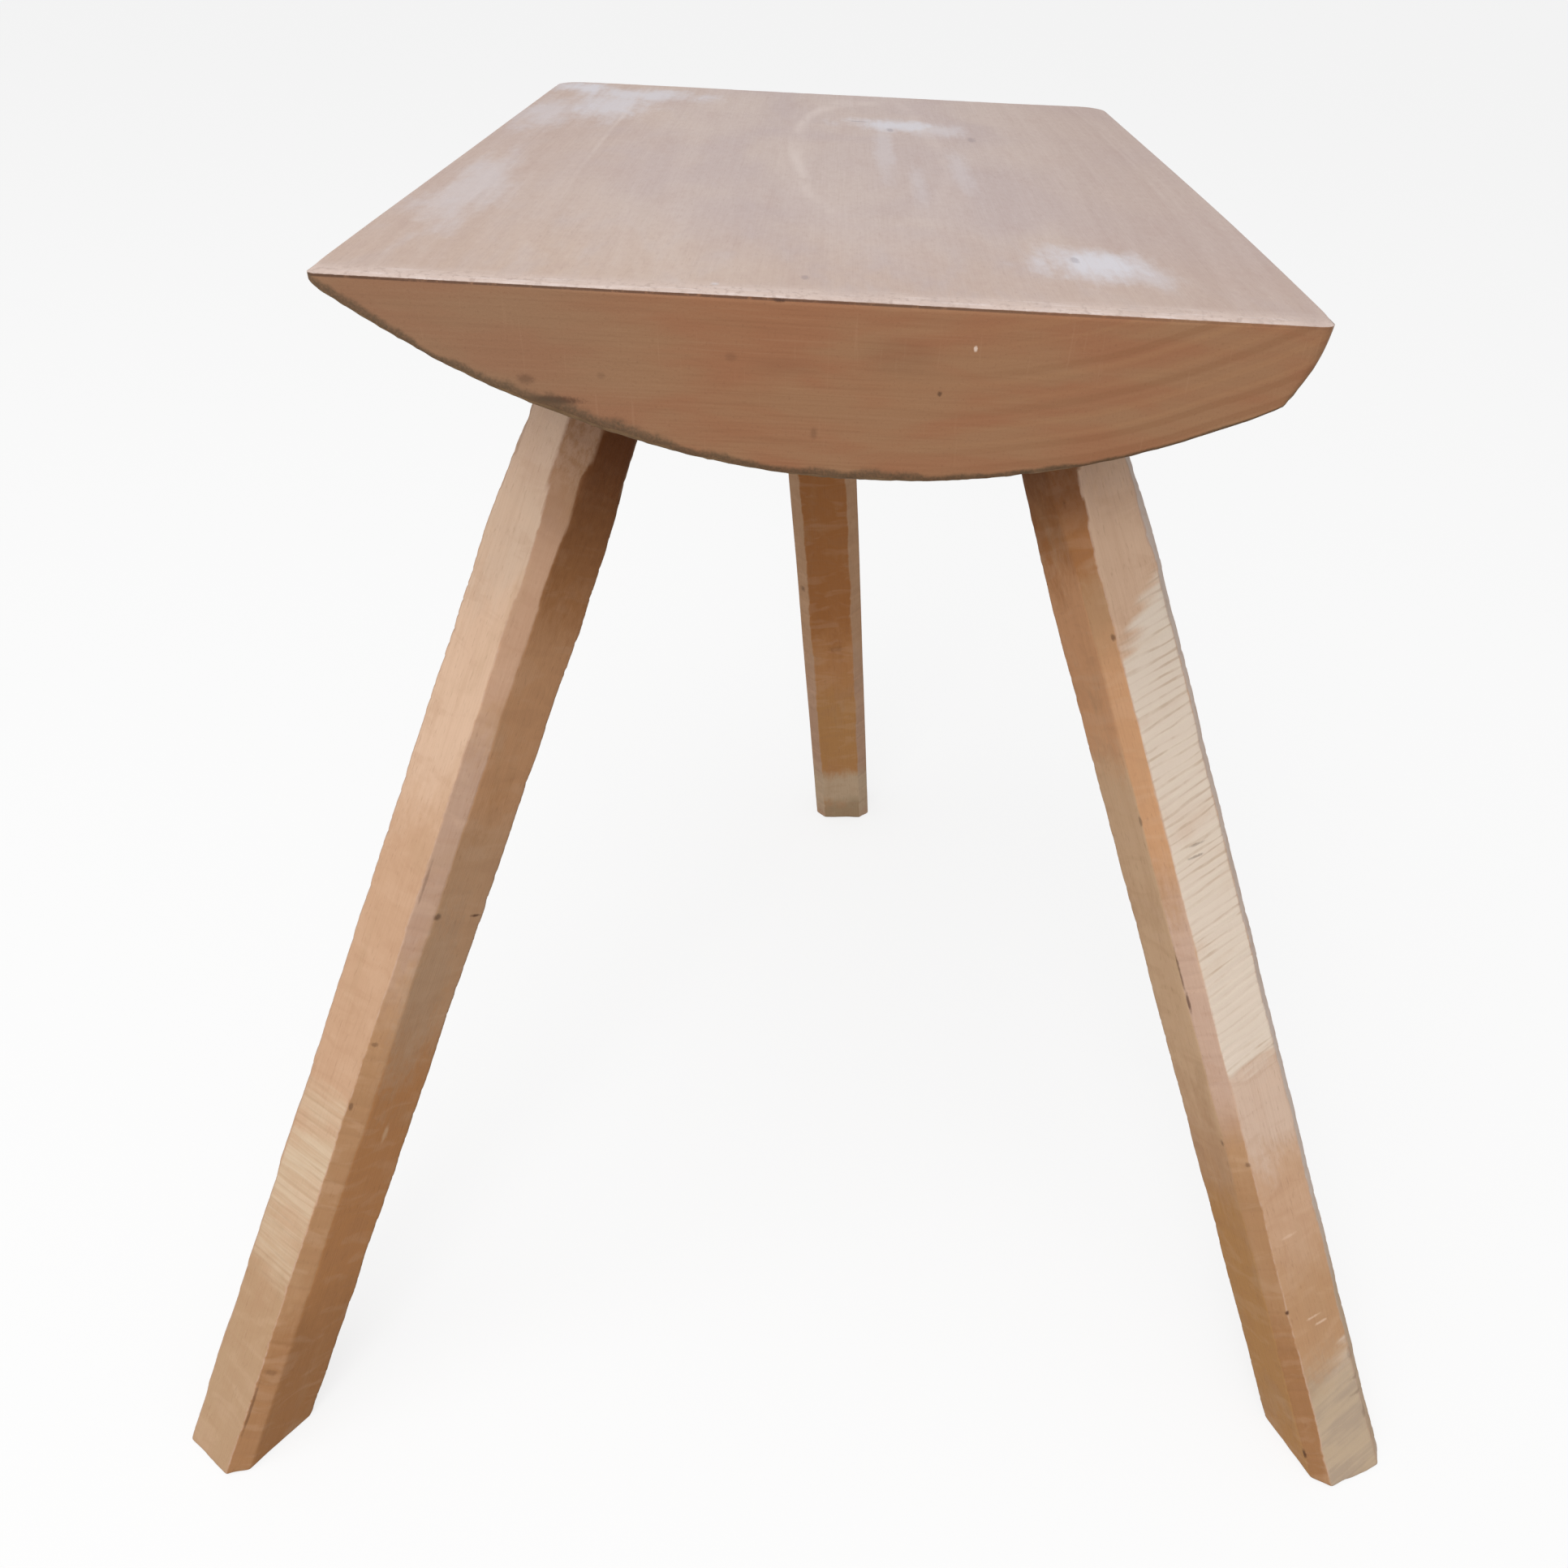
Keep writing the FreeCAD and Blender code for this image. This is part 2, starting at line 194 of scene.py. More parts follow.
def belly_depth(across, along):
    """Depth of the belly under the top.

    The belly is a circle about a line above the top, whose lowest line lies belly_offset to
    the right of the middle; across runs from its left end to its right end.
    """
    half, thick, radius = log_section(along)
    x = -half + across * (2 * half - SEAT["right_lean"])
    return np.sqrt(radius**2 - (x - SEAT["belly_offset"]) ** 2) - radius + thick


def round_corners(u, v):
    """Bring the plan's four corners in.

    Inside each corner's square a point keeps its direction from the square's inner corner, and
    its larger offset becomes its distance, so the square's rim falls on a quarter circle.
    """
    for name, radius in CORNER_RADII.items():
        right = name.endswith("right")
        back = name.startswith("back")
        off_u = radius - (SEAT["width"] - u if right else u)
        off_v = radius - (SEAT["length"] - v if back else v)
        inside = (off_u > 0) & (off_v > 0)
        far = np.hypot(off_u, off_v)
        shrink = np.where(inside, 1 - np.maximum(off_u, off_v) / np.where(inside, far, 1), 0)
        u = u + shrink * off_u * (-1 if right else 1)
        v = v + shrink * off_v * (-1 if back else 1)
    return u, v


def slab_points(u, v, inset, depth_of):
    """Points of the slab from lattice places u and v, brought in by inset towards its middle.

    depth_of turns the belly's depth at each place into the depth of the point. The right side
    leans in with depth, and the back line runs askew.
    """
    wide, long = SEAT["width"], SEAT["length"]
    u = wide / 2 + (u - wide / 2) * (1 - 2 * inset / wide)
    v = long / 2 + (v - long / 2) * (1 - 2 * inset / long)
    u, v = round_corners(u, v)
    across, along = u / wide, v / long
    half = log_section(along)[0]
    belly = belly_depth(across, along)
    depth = depth_of(belly)
    share = depth / belly
    bulge = SEAT["right_bulge"] * np.sin(np.pi * np.clip(along, 0, 1) ** 0.8)
    bulge = bulge + SEAT["right_swell"] * np.sin(np.pi * share)
    x = -half + across * (2 * half + bulge - SEAT["right_lean"] * share)
    back_line = long - SEAT["back_skew"] / 2 + SEAT["back_skew"] / SEAT["back_width"] * x
    return np.stack([x, along * back_line, -depth], axis=-1)


def top_inset(v):
    """How far the worn top arris reaches in: far at the front edge, little elsewhere."""
    extra = TOP_ARRIS["front_inset"] - TOP_ARRIS["inset"]
    return TOP_ARRIS["inset"] + extra * bump_at(v, TOP_ARRIS["front_fade"])


def belly_worn(u, v):
    """Width of the rough lower arris, which changes along the front edge.

    Its left part ends at about 70 mm, a chip lies at 82 mm, and the middle is worn round 150 mm.
    """
    left = 1 - eased(u, 60, 78)
    chip = bump_at(u - 82, 15)
    middle = bump_at(u - 150, 55)
    front = np.exp(-v / 8)
    plain = LOW_ARRIS["plain"]
    wide = (LOW_ARRIS["left"] - plain) * left + (LOW_ARRIS["chip"] - plain) * chip
    wide = wide + (LOW_ARRIS["middle"] - plain) * middle
    uneven = 1 + 0.25 * ripple(11, u / 31, v / 40)
    return (plain + wide * front) * uneven


def even_lines(length, count, crowding):
    """Lattice lines over a length, crowded towards both ends: t - crowding sin(2 pi t) / 2 pi."""
    t = np.linspace(0, 1, count + 1)
    return length * (t - crowding * np.sin(TURN * t) / TURN)


def broad_face(count_u, count_v, rim, inner):
    """Numbers of a broad face's lattice: its border is the wall's row that begins at rim."""
    grid = np.empty((count_u + 1, count_v + 1), dtype=int)
    grid[1:-1, 1:-1] = inner + np.arange((count_u - 1) * (count_v - 1)).reshape(count_u - 1, -1)
    run_u, run_v = np.arange(count_u), np.arange(count_v)
    grid[:-1, 0] = rim + run_u
    grid[-1, :-1] = rim + count_u + run_v
    grid[:0:-1, -1] = rim + count_u + count_v + run_u
    grid[0, :0:-1] = rim + 2 * count_u + count_v + run_v
    return grid


def slab_shell():
    """Closed shell of the slab, and how far each point lies above the belly's arris.

    A wall of rows runs round the outline: a parabola at the top arris, a straight part and a
    rounded chamfer at the belly's arris. Two lattices close it, the flat top and the
    belly, whose borders are the wall's first and last rows. The height above the arris is
    counted in widths of the arris itself.
    """
    wide, long = SEAT["width"], SEAT["length"]
    u_lines = even_lines(wide, *SEAT_LINES["across"])
    v_lines = even_lines(long, *SEAT_LINES["along"])
    n_u, n_v = len(u_lines) - 1, len(v_lines) - 1
    u = np.concatenate([u_lines[:-1], np.full(n_v, wide), u_lines[:0:-1], np.zeros(n_v)])
    v = np.concatenate([np.zeros(n_u), v_lines[:-1], np.full(n_u, long), v_lines[:0:-1]])
    belly_here = belly_depth(u / wide, v / long)
    low = np.minimum(belly_worn(u, v), 0.38 * belly_here)
    top_drop = np.minimum(TOP_ARRIS["drop"], 0.3 * belly_here)
    tall = belly_here - low - top_drop

    rows, gaps = [], []
    for share in np.linspace(0, 1, WALL_ROWS["top"]):
        drop = top_drop * share**2
        rows.append(slab_points(u, v, top_inset(v) * (1 - share), lambda belly, d=drop: d + 0 * belly))
        gaps.append((belly_here - low - drop) / low)
    for share in np.linspace(0, 1, WALL_ROWS["side"])[1:-1]:
        rows.append(slab_points(u, v, 0 * u, lambda belly, d=top_drop + share * tall: d + 0 * belly))
        gaps.append((1 - share) * tall / low)
    for turn in np.linspace(0, 90, WALL_ROWS["low"]):
        gaps.append(0 * low)
        sine, cosine = math.sin(math.radians(turn)), math.cos(math.radians(turn))
        inset = low * (0.5 * (1 - cosine) + 0.5 * turn / 90)
        lift = low * (0.5 * (1 - sine) + 0.5 * (1 - turn / 90))
        rows.append(slab_points(u, v, inset, lambda belly, f=lift: belly - f))
    wall = np.stack(rows, axis=1)

    grid_u, grid_v = np.meshgrid(u_lines[1:-1], v_lines[1:-1], indexing="ij")
    grid_u, grid_v = grid_u.ravel(), grid_v.ravel()
    top = slab_points(grid_u, grid_v, top_inset(grid_v), lambda belly: 0 * belly)
    under = slab_points(grid_u, grid_v, belly_worn(grid_u, grid_v), lambda belly: belly)

    count, deep = wall.shape[:2]
    by_row = wall.transpose(1, 0, 2).reshape(-1, 3)
    numbers = np.arange(count * deep).reshape(deep, count)
    joined = np.hstack([numbers, numbers[:, :1]])
    top_grid = broad_face(n_u, n_v, 0, count * deep)
    under_grid = broad_face(n_u, n_v, (deep - 1) * count, count * deep + len(top))
    faces = [squares(joined), squares(top_grid), squares(under_grid)[:, ::-1]]
    far_above = np.full(len(top), 50.0)
    gap = np.concatenate([np.concatenate(gaps), far_above, np.zeros(len(under))])
    return np.vstack([by_row, top, under]), faces, gap


def slab_relief(points, normals):
    """How deep the slab's surface lies under its plain shape.

    The top has long fibres and a slight hollow, the ends were crosscut a little unevenly, the
    belly has long draw-knife hollows, and the front arrises are rough.
    """
    x, y, z = points.T
    deep = SLAB_RELIEF
    up, down = eased(normals[:, 2], 0.5, 0.95), eased(-normals[:, 2], 0.3, 0.8)
    end = eased(np.abs(normals[:, 1]), 0.6, 0.95)
    fibre = rolling(21, x / 11, y / 300)
    hollow = rolling(22, x / 190, y / 330)
    saw = rolling(24, x / 160, z / 9)
    knife = rolling(25, x / 38, y / 190)
    scar = rolling(26, x / 16, y / 34)
    rough = rolling(27, x / 7.5, z / 6, y / 5)
    crumb = np.clip(ripple(28, x / 3.6, y / 3.1, z / 3), 0, 1)
    depth = up * (deep["fibre"] * fibre + deep["hollow"] * hollow) + end * deep["saw"] * saw
    behind_front = 1 - 0.75 * np.exp(-y / 14)
    depth = depth + down * (deep["knife"] * knife + deep["scar"] * scar) * behind_front
    near_front = np.exp(-np.clip(y, 0, None) / 3.5)
    low_rim = near_front * eased(-z, 2.5, 5) * eased(-normals[:, 2], 0.15, 0.5)
    top_rim = (1 - eased(y, 4.0, 6.5)) * eased(z, -2.2, -1.2) * up
    top_rim = top_rim * (deep["top_rim"] * rough + deep["crumb"] * crumb)
    return depth + deep["low_rim"] * low_rim * rough + top_rim


def leg_frame(leg):
    """Turn and place of a leg's own frame: its z runs up the axis, its -x faces outwards."""
    foot, top = Vector(leg["foot"]), Vector(leg["top"])
    run = top - foot
    heading = math.atan2(run.y, run.x)
    lean = math.atan2(run.length, SEAT_PLACE[2])
    turn = Matrix.Rotation(heading, 3, "Z") @ Matrix.Rotation(lean, 3, "Y")
    return np.array(turn), np.array([foot.x, foot.y, 0.0]), heading, lean


def cone_radius(leg, along):
    """Radius of the whittled cone, which narrows evenly up to the tenon's tip."""
    return TENON["tip_radius"] + (leg["reach"] - along) * math.tan(math.radians(TENON["taper"]))


def mortise_cutter(name, leg):
    """Cone that bores a leg's blind mortise out of the belly."""
    sides, below = 96, 130
    angle = np.linspace(0, TURN, sides, endpoint=False)
    along = np.array([leg["reach"] - below, leg["reach"] + TENON["end_gap"]])
    radius = cone_radius(leg, along)[:, None] + TENON["clearance"]
    level = np.broadcast_to(along[:, None], (2, sides))
    rows = np.stack([radius * np.cos(angle), radius * np.sin(angle), level], axis=-1)
    points, faces = sleeve(rows)
    turn, place, _, _ = leg_frame(leg)
    return put_piece(f"{name}_borer", points @ turn.T + place, faces)


def make_seat():
    """The slab, with three mortises bored into its belly.

    Each point is pressed in along its normal by the relief: worn = point - normal * relief.
    """
    points, faces, gap = slab_shell()
    piece = put_piece("log_seat", points, faces)
    normals = np.empty(points.shape, dtype=np.float32)
    piece.data.vertex_normals.foreach_get("vector", normals.ravel())
    relief = slab_relief(points, normals)
    worn = points - normals * np.clip(relief, 0, None)[:, None]
    piece.data.vertices.foreach_set("co", ((worn + SEAT_PLACE) * MM).ravel())
    piece.data.update()
    keep_values(piece, "end_grain", eased(np.abs(normals[:, 1]), 0.35, 0.75))
    keep_values(piece, "bark_side", eased(-normals[:, 2], 0.12, 0.45))
    keep_values(piece, "front_rim", eased(-points[:, 1], -13.0, -3.0) * eased(normals[:, 2], 0.3, 0.6))
    keep_values(piece, "hollow", relief)
    keep_values(piece, "over_arris", gap)
    cut_away(piece, [mortise_cutter(name, leg) for name, leg in LEGS.items()])
    return piece


# Legs


# Power of the soft meet of a leg's planes, the length that keeps it in range, and how softly
# the masks of the faces change over
SHARPNESS = 100
MEET_SCALE = 20
MASK_EDGE = 0.0007
# Faces and arrises are numbered by eighths of a turn
FACE_SET = 8
OUTER_FACE = 4
FAR_ARRIS = {"front_left": 3, "front_right": 5, "back": 3}
LEG_RINGS = 690
FOOT_RIM = 2.1
WHITTLED_LENGTH = 108
# Depth of each kind of unevenness on the legs
LEG_RELIEF = {"bow": 0.16, "arris": 0.26, "ripple": 0.1, "nick": 0.26, "scratch": 0.26}
# Saw strokes on the outer faces: runs are start, end and power
SAWN = {
    "front_left": {
        "pitch": 3.9, "slant": 0.04, "end_slant": 0.0, "runs": ((70, 174, 0.42), (98, 156, 0.55)),
    },
    "front_right": {
        "pitch": 3.8, "slant": 0.19, "end_slant": 0.88,
        "runs": ((183, 383, 0.7), (184, 244, 1.0), (-20, 50, 0.42)),
    },
    "back": {
        "pitch": 4.8, "slant": -0.05, "end_slant": 0.3, "runs": ((40, 150, 0.5), (250, 330, 0.45)),
    },
}


def section_angles():
    """Angles once round the leg's section, with even steps on each face and fine ones at arrises."""
    flat = LEG_SIDE / 2
    edge = flat - LEG_CHAMFER
    share = np.array([-1, -0.985, -0.95, -0.9, *np.linspace(-0.82, 0.82, 12), 0.9, 0.95, 0.985])
    faces = np.arctan2(share * edge, flat)
    corner_half = np.pi / 4 - np.arctan2(edge, flat)
    tilt = np.array([-1, -0.92, -0.78, -0.5, -0.18, 0.18, 0.5, 0.78, 0.92])
    chamfers = np.pi / 4 + np.arctan(tilt * math.tan(corner_half))
    quarter = np.concatenate([faces, chamfers])
    return np.concatenate([quarter + k * np.pi / 2 for k in range(4)])


def saw_scratches(seed, along, across, marks):
    """The saw's scratches on a face, how far the face is sawn, and the place along its strokes.

    A scratch is the crest of a wave that runs along the leg, slanting with the distance
    across the face; its pitch wanders and its strength comes and goes.
    """
    path = along - marks["slant"] * across + 0.8 * ripple(seed, along / 110, across / 160)
    wave = 0.5 + 0.5 * np.sin(TURN * path / marks["pitch"] + 1.6 * ripple(seed + 1, path / 40))
    strength = np.clip(0.5 + 0.6 * ripple(seed + 2, path / 16, across / 90), 0, 1.2)
    zone = 0
    for start, end, power in marks["runs"]:
        ragged = path + 3.5 * ripple(seed + 3, path / 7, across / 60)
        begun = eased(ragged, start - 4, start + 18)
        ended = 1 - eased(ragged - marks["end_slant"] * across, end - 18, end + 4)
        zone = np.maximum(zone, power * begun * ended)
    return zone * strength * wave**2, zone, path


def leg_surface(name, leg):
    """Rings of a leg in its own frame, from the middle of the foot to the tenon's tip.

    Each ring is the soft meet of eight planes and the whittled cone: the radius is
    (sum of (cos(angle - normal) / offset)^n + (1 / cone)^n)^(-1 / n). The planes waver along
    the leg, and above the shoulder knife cuts take the corners off towards the cone. The
    rings lie level with the floor at the foot and square to the axis at the tip.
    """
    seed = 100 * (1 + list(LEGS).index(name))
    twist = math.radians(leg["twist"])
    lean = leg_frame(leg)[3]
    flat = LEG_SIDE / 2
    chamfer = (2 * flat - LEG_CHAMFER) / math.sqrt(2)
    reach = leg["reach"]
    deep = LEG_RELIEF
    angle = section_angles()[None, :]
    rim = np.array([0.0, 0.0, 0.06, 0.2, 0.45, 0.8, 1.3, 1.9, 2.7, 3.6, 4.6])
    tip = reach - np.array([1.5, 0.9, 0.3, 0.0, 0.0])
    up = np.concatenate([rim, np.linspace(5.4, reach - 2.4, LEG_RINGS), tip])[:, None]

    def radius_at(along):
        """Radius for each angle at places along the axis, and what the surface is there."""
        pull = 0
        facets = []
        start = reach - WHITTLED_LENGTH
        for face in range(FACE_SET):
            normal = face * np.pi / 4
            facing = np.clip(np.cos(angle - normal), 1e-6, None)
            straight = flat if face % 2 == 0 else chamfer
            across = straight * np.tan(np.clip(angle - normal + np.pi, 0, TURN) % TURN - np.pi)
            across = np.clip(across, -20, 20)
            offset = straight - deep["bow"] * rolling(seed + face, along / 150)
            if face % 2:
                nick = np.clip(ripple(seed + 50 + face, along / 7) - 0.2, 0, 1)
                offset = offset - deep["arris"] * (1 + ripple(seed + 20 + face, along / 60))
                offset = offset - deep["ripple"] * ripple(seed + 30 + face, along / 15)
                offset = offset - deep["nick"] * nick
            if face == OUTER_FACE:
                depth, sawn_here, path = saw_scratches(seed + 40, along, across, SAWN[name])
                on_face = eased(facing, math.cos(0.62), math.cos(0.57))
                sawn = sawn_here * on_face
                offset = offset - deep["scratch"] * depth * on_face
            facets.append(facing / offset)
            pull = pull + (MEET_SCALE * facets[-1]) ** SHARPNESS
        cone = cone_radius(leg, along)
        for cut in range(FACE_SET):
            normal = cut * np.pi / 4 + 0.12 * ripple(seed + 60 + cut, along / 60)
            facing = np.clip(np.cos(angle - normal), 1e-6, None)
            hewn = cut % 2
            shave = 0.4 + 0.15 * hewn + (0.15 + 0.15 * hewn) * ripple(seed + 70 + cut, along / 26)
            shave = shave + (0.06 + 0.14 * hewn) * np.clip(ripple(seed + 80 + cut, along / 8), 0, 1)
            facets[cut] = np.maximum(facets[cut], facing / (cone - shave))
            pull = pull + (MEET_SCALE * facing / (cone - shave)) ** SHARPNESS
        pull = pull + (MEET_SCALE / cone) ** SHARPNESS
        flats, corners = np.maximum.reduce(facets[::2]), np.maximum.reduce(facets[1::2])
        other_flats = facets[:OUTER_FACE:2] + facets[OUTER_FACE + 2::2]
        beside = np.maximum(corners, np.maximum.reduce(other_flats))
        values = {
            "sawn": sawn,
            "whittled": eased(along, start + 2, start + 24),
            "saw_path": path * MM,
            "outer": eased(facets[OUTER_FACE] - beside, -MASK_EDGE, MASK_EDGE),
            "arris_face": eased(corners - flats, -MASK_EDGE, MASK_EDGE),
            "far_arris": eased(facets[FAR_ARRIS[name]] - flats, -MASK_EDGE, MASK_EDGE),
        }
        return MEET_SCALE * pull ** (-1 / SHARPNESS), values

    first = radius_at(up)[0]
    slope = math.tan(lean) * (1 - up / reach)
    along = up + slope * first * np.cos(angle + twist)
    radius, values = radius_at(along)
    rounding = FOOT_RIM * (1.1 + 0.4 * ripple(seed + 90, angle / 2))
    lack = np.clip(1 - up / rounding, 0, 1)
    radius = radius - rounding * (1 - np.sqrt(1 - lack**2)) * (up < rounding)
    radius = radius - np.clip(up - (reach - TENON["chamfer"]), 0, None)
    radius[0] *= 0.8
    radius[-1] *= 0.7
    x, y = radius * np.cos(angle + twist), radius * np.sin(angle + twist)
    along = up + math.tan(lean) * x * (1 - up / reach)
    return np.stack([x, y, along], axis=-1), values


def kerf_cutter(name, leg):
    """Slot down the tenon's tip for its wedge, wider at the mouth than at its root."""
    turn, place, heading, _ = leg_frame(leg)
    top, low = leg["reach"] + 2, leg["reach"] - KERF["depth"]
    levels, x = ((KERF["root"] / 2, low), (KERF["mouth"] / 2, top)), 30
    rows = np.array([[[-x, -y, z], [x, -y, z], [x, y, z], [-x, y, z]] for y, z in levels])
    points, faces = sleeve(rows)
    aside = np.array(Matrix.Rotation(-heading, 3, "Z"))
    return put_piece(f"{name}_kerf_saw", points @ aside.T @ turn.T + place, faces)


def make_leg(name, leg):
    """One leg, in its place under the seat, with the kerf sawn into its tenon."""
    rows, values = leg_surface(name, leg)
    points, faces = sleeve(rows)
    turn, place, _, _ = leg_frame(leg)
    piece = put_piece(f"{name}_stick", points @ turn.T + place, faces)
    for label, value in values.items():
        flat = np.broadcast_to(value, rows.shape[:2])
        keep_values(piece, label, np.append(flat, [flat[0].mean(), flat[-1].mean()]))
    cut_away(piece, [kerf_cutter(name, leg)])
    return piece


# Materials


def shade(red, green, blue):
    """Linear colour of a tone given as the 0 to 255 values of a picture."""
    tones = [c / 255 for c in (red, green, blue)]
    return (*[t / 12.92 if t <= 0.04045 else ((t + 0.055) / 1.055) ** 2.4 for t in tones], 1.0)


class Finish:
    """Node tree of a material or a sky, with a short way to add each kind of node."""

    def __init__(self, name, kind="materials", shader="Principled BSDF"):
        self.owner = getattr(bpy.data, kind).new(name)
        self.owner.use_nodes = True
        self.nodes = self.owner.node_tree.nodes
        self.links = self.owner.node_tree.links
        self.shader = self.nodes[shader]

    def add(self, kind, inputs, **settings):
        """New node: settings are its own choices, inputs are values or other nodes' outputs."""
        node = self.nodes.new(f"ShaderNode{kind}")
        for setting, choice in settings.items():
            setattr(node, setting, choice)
        for socket, value in inputs.items():
            self.feed(node.inputs[socket], value)
        return node

    def feed(self, socket, value):
        """Link an output to a socket, or set the socket's own value."""
        if isinstance(value, bpy.types.NodeSocket):
            self.links.new(value, socket)
        else:
            socket.default_value = value

    def calc(self, operation, *values):
        """One step of arithmetic."""
        return self.add("Math", dict(enumerate(values)), operation=operation).outputs[0]

    def product(self, *values):
        """All the values multiplied together."""
        total = values[0]
        for value in values[1:]:
            total = self.calc("MULTIPLY", total, value)
        return total

    def blend(self, share, below, above):
        """Colour between two colours, each another node's output or a tone from 0 to 255."""
        below, above = (shade(*c) if isinstance(c, tuple) else c for c in (below, above))
        sockets = {0: share, 6: below, 7: above}
        return self.add("Mix", sockets, data_type="RGBA").outputs[2]

    def graded(self, value, low, high, start=0.0, end=1.0):
        """start below low, end above high, and an eased change between."""
        sockets = {"Value": value, 1: low, 2: high, 3: start, 4: end}
        return self.add("MapRange", sockets, interpolation_type="SMOOTHSTEP").outputs[0]

    def stretched(self, place, sizes):
        """The place measured in lengths of its own along each axis, given in millimetres."""
        scale = tuple(1 / (size * MM) for size in sizes)
        return self.add("VectorMath", {0: place, 1: scale}, operation="MULTIPLY").outputs[0]

    def cloud(self, place, sizes, detail, rough, bend=0.0):
        """Soft noise from 0 to 1, with spots about as large as sizes, in millimetres."""
        sockets = {"Vector": self.stretched(place, sizes), "Scale": 1.0, "Detail": detail}
        sockets |= {"Roughness": rough, "Distortion": bend}
        return self.add("TexNoise", sockets).outputs[0]

    def swing(self, noise, size):
        """Noise turned into a value that swings about 0."""
        return self.calc("MULTIPLY_ADD", noise, 2.0 * size, -size)

    def value(self, name):
        """Number kept on the piece's own vertices."""
        return self.add("Attribute", {}, attribute_name=name).outputs["Fac"]

    def spot(self, place, numbers, ragged, edge):
        """Mask of an ellipsoid with a ragged rim: its centre and reach in mm, and its strength."""
        middle = tuple(c * MM for c in numbers[:3])
        away = self.add("VectorMath", {0: place, 1: middle}, operation="SUBTRACT").outputs[0]
        sized = self.stretched(away, numbers[3:6])
        far = self.add("VectorMath", {0: sized}, operation="LENGTH").outputs["Value"]
        return self.graded(self.calc("ADD", far, ragged), 1 + edge, 1 - edge, 0.0, numbers[6])

    def spotted(self, colour, place, spots, ragged, edge, tone):
        """Colour with spots of one tone on it."""
        for numbers in spots:
            colour = self.blend(self.spot(place, numbers, ragged, edge), colour, tone)
        return colour

    def coats(self, colour, layers, *masks):
        """Colour under thin coats, which the masks, if any, hold back.

        A coat is a value, where it comes in and is full, and the coat's strength and tone.
        """
        for value, low, high, strength, tone in layers:
            share = self.product(self.graded(value, low, high, 0.0, strength), *masks)
            colour = self.blend(share, colour, tone)
        return colour

    def bare_wood(self, colour, fibre, relief, gloss):
        """Feed the shader with colour, a roughness that follows the fibres, and a fine relief."""
        self.feed(self.shader.inputs["Base Color"], colour)
        self.feed(self.shader.inputs["Roughness"], self.graded(fibre, 0.2, 0.8, 0.66, 0.84))
        grain = self.add("Bump", {"Strength": 0.4, "Distance": 0.0004, "Height": relief})
        self.feed(self.shader.inputs["Normal"], grain.outputs[0])
        self.shader.inputs["Specular IOR Level"].default_value = gloss
        return self.owner


def wood_place(finish, place, turn=(0, 0, 0)):
    """Object coordinates centred and turned into the frame of the wood's own piece."""
    coordinates = finish.add("TexCoord", {}).outputs["Object"]
    location = tuple(p * MM for p in place)
    sockets = {"Vector": coordinates, "Location": location, "Rotation": turn}
    return finish.add("Mapping", sockets, vector_type="TEXTURE").outputs[0]


def lines_of(finish, distance, pitch, detail):
    """Uneven lines across a distance: one-dimensional noise with about one line each pitch."""
    sockets = {"W": finish.calc("DIVIDE", distance, pitch * MM), "Scale": 1.0, "Detail": detail}
    return finish.add("TexNoise", sockets, noise_dimensions="1D").outputs[0]


# Growth rings of the seat: the log's middle line bows away from the top on both sides of
# BOW_PLACE. Pale rings: how far outside the ring that touches the top, width and strength.
RING_CENTRE = 15.0
BOW_PLACE = 230.0
BOW = 0.099
PALE_RINGS = ((2.1, 0.55, 0.5), (27.0, 0.7, 0.4))

# Chalky patches and specks on the top, and marks on the front end: centre and reach in the
# seat's frame, and strength
CHALK = (
    (-106, 296, 0, 15, 32, 20, 0.75), (-96, 334, 0, 24, 15, 20, 0.8),
    (-124, 346, 0, 12, 14, 20, 0.9), (-127, 268, 0, 9, 34, 20, 0.5),
    (-124, 112, 0, 10, 44, 20, 0.42), (27, 289, 0, 17, 13, 20, 0.95), (44, 281, 0, 11, 15, 20, 0.5),
    (82, 53, 0, 14, 17, 20, 1), (95, 44, 0, 9, 12, 20, 0.5), (20, 222, 0, 3.5, 46, 20, 0.3),
    (32, 165, 0, 3, 26, 20, 0.28), (50, 190, 0, 3.5, 36, 20, 0.28),
    (-32.8, 8.6, 0, 1.1, 1.7, 6, 1),
)
TOP_SPECKS = (
    (24, 276, 0, 1.4, 4, 8, 0.35), (10, 294, 0, 4, 1.3, 8, 0.35), (76, 57, 0, 1.3, 3.2, 8, 0.3),
    (-8, 20, 0, 1, 2.2, 8, 0.35), (60, 262, 0, 1.6, 6, 8, 0.3),
)
END_CHIP = ((41.1, 0, -11.7, 0.5, 6, 0.8, 0.9),)
END_SPOTS = (
    (-86.5, 0, -26.6, 2.2, 6, 1.3, 0.45), (-78.5, 0, -32.2, 6.5, 6, 1, 0.85),
    (-65, 0, -24.6, 1.1, 6, 0.9, 0.22), (32, 0, -25, 0.6, 6, 0.7, 0.75),
    (-28, 0, -17.5, 1.5, 6, 1.2, 0.22), (-13, 0, -19.5, 9, 6, 2.4, 0.1),
    (20, 0, -15, 10, 6, 5, 0.12), (-14.4, 0, -1.3, 1.4, 6, 0.5, 0.9),
    (-4, 0, -38.5, 0.9, 6, 1.6, 0.3),
)


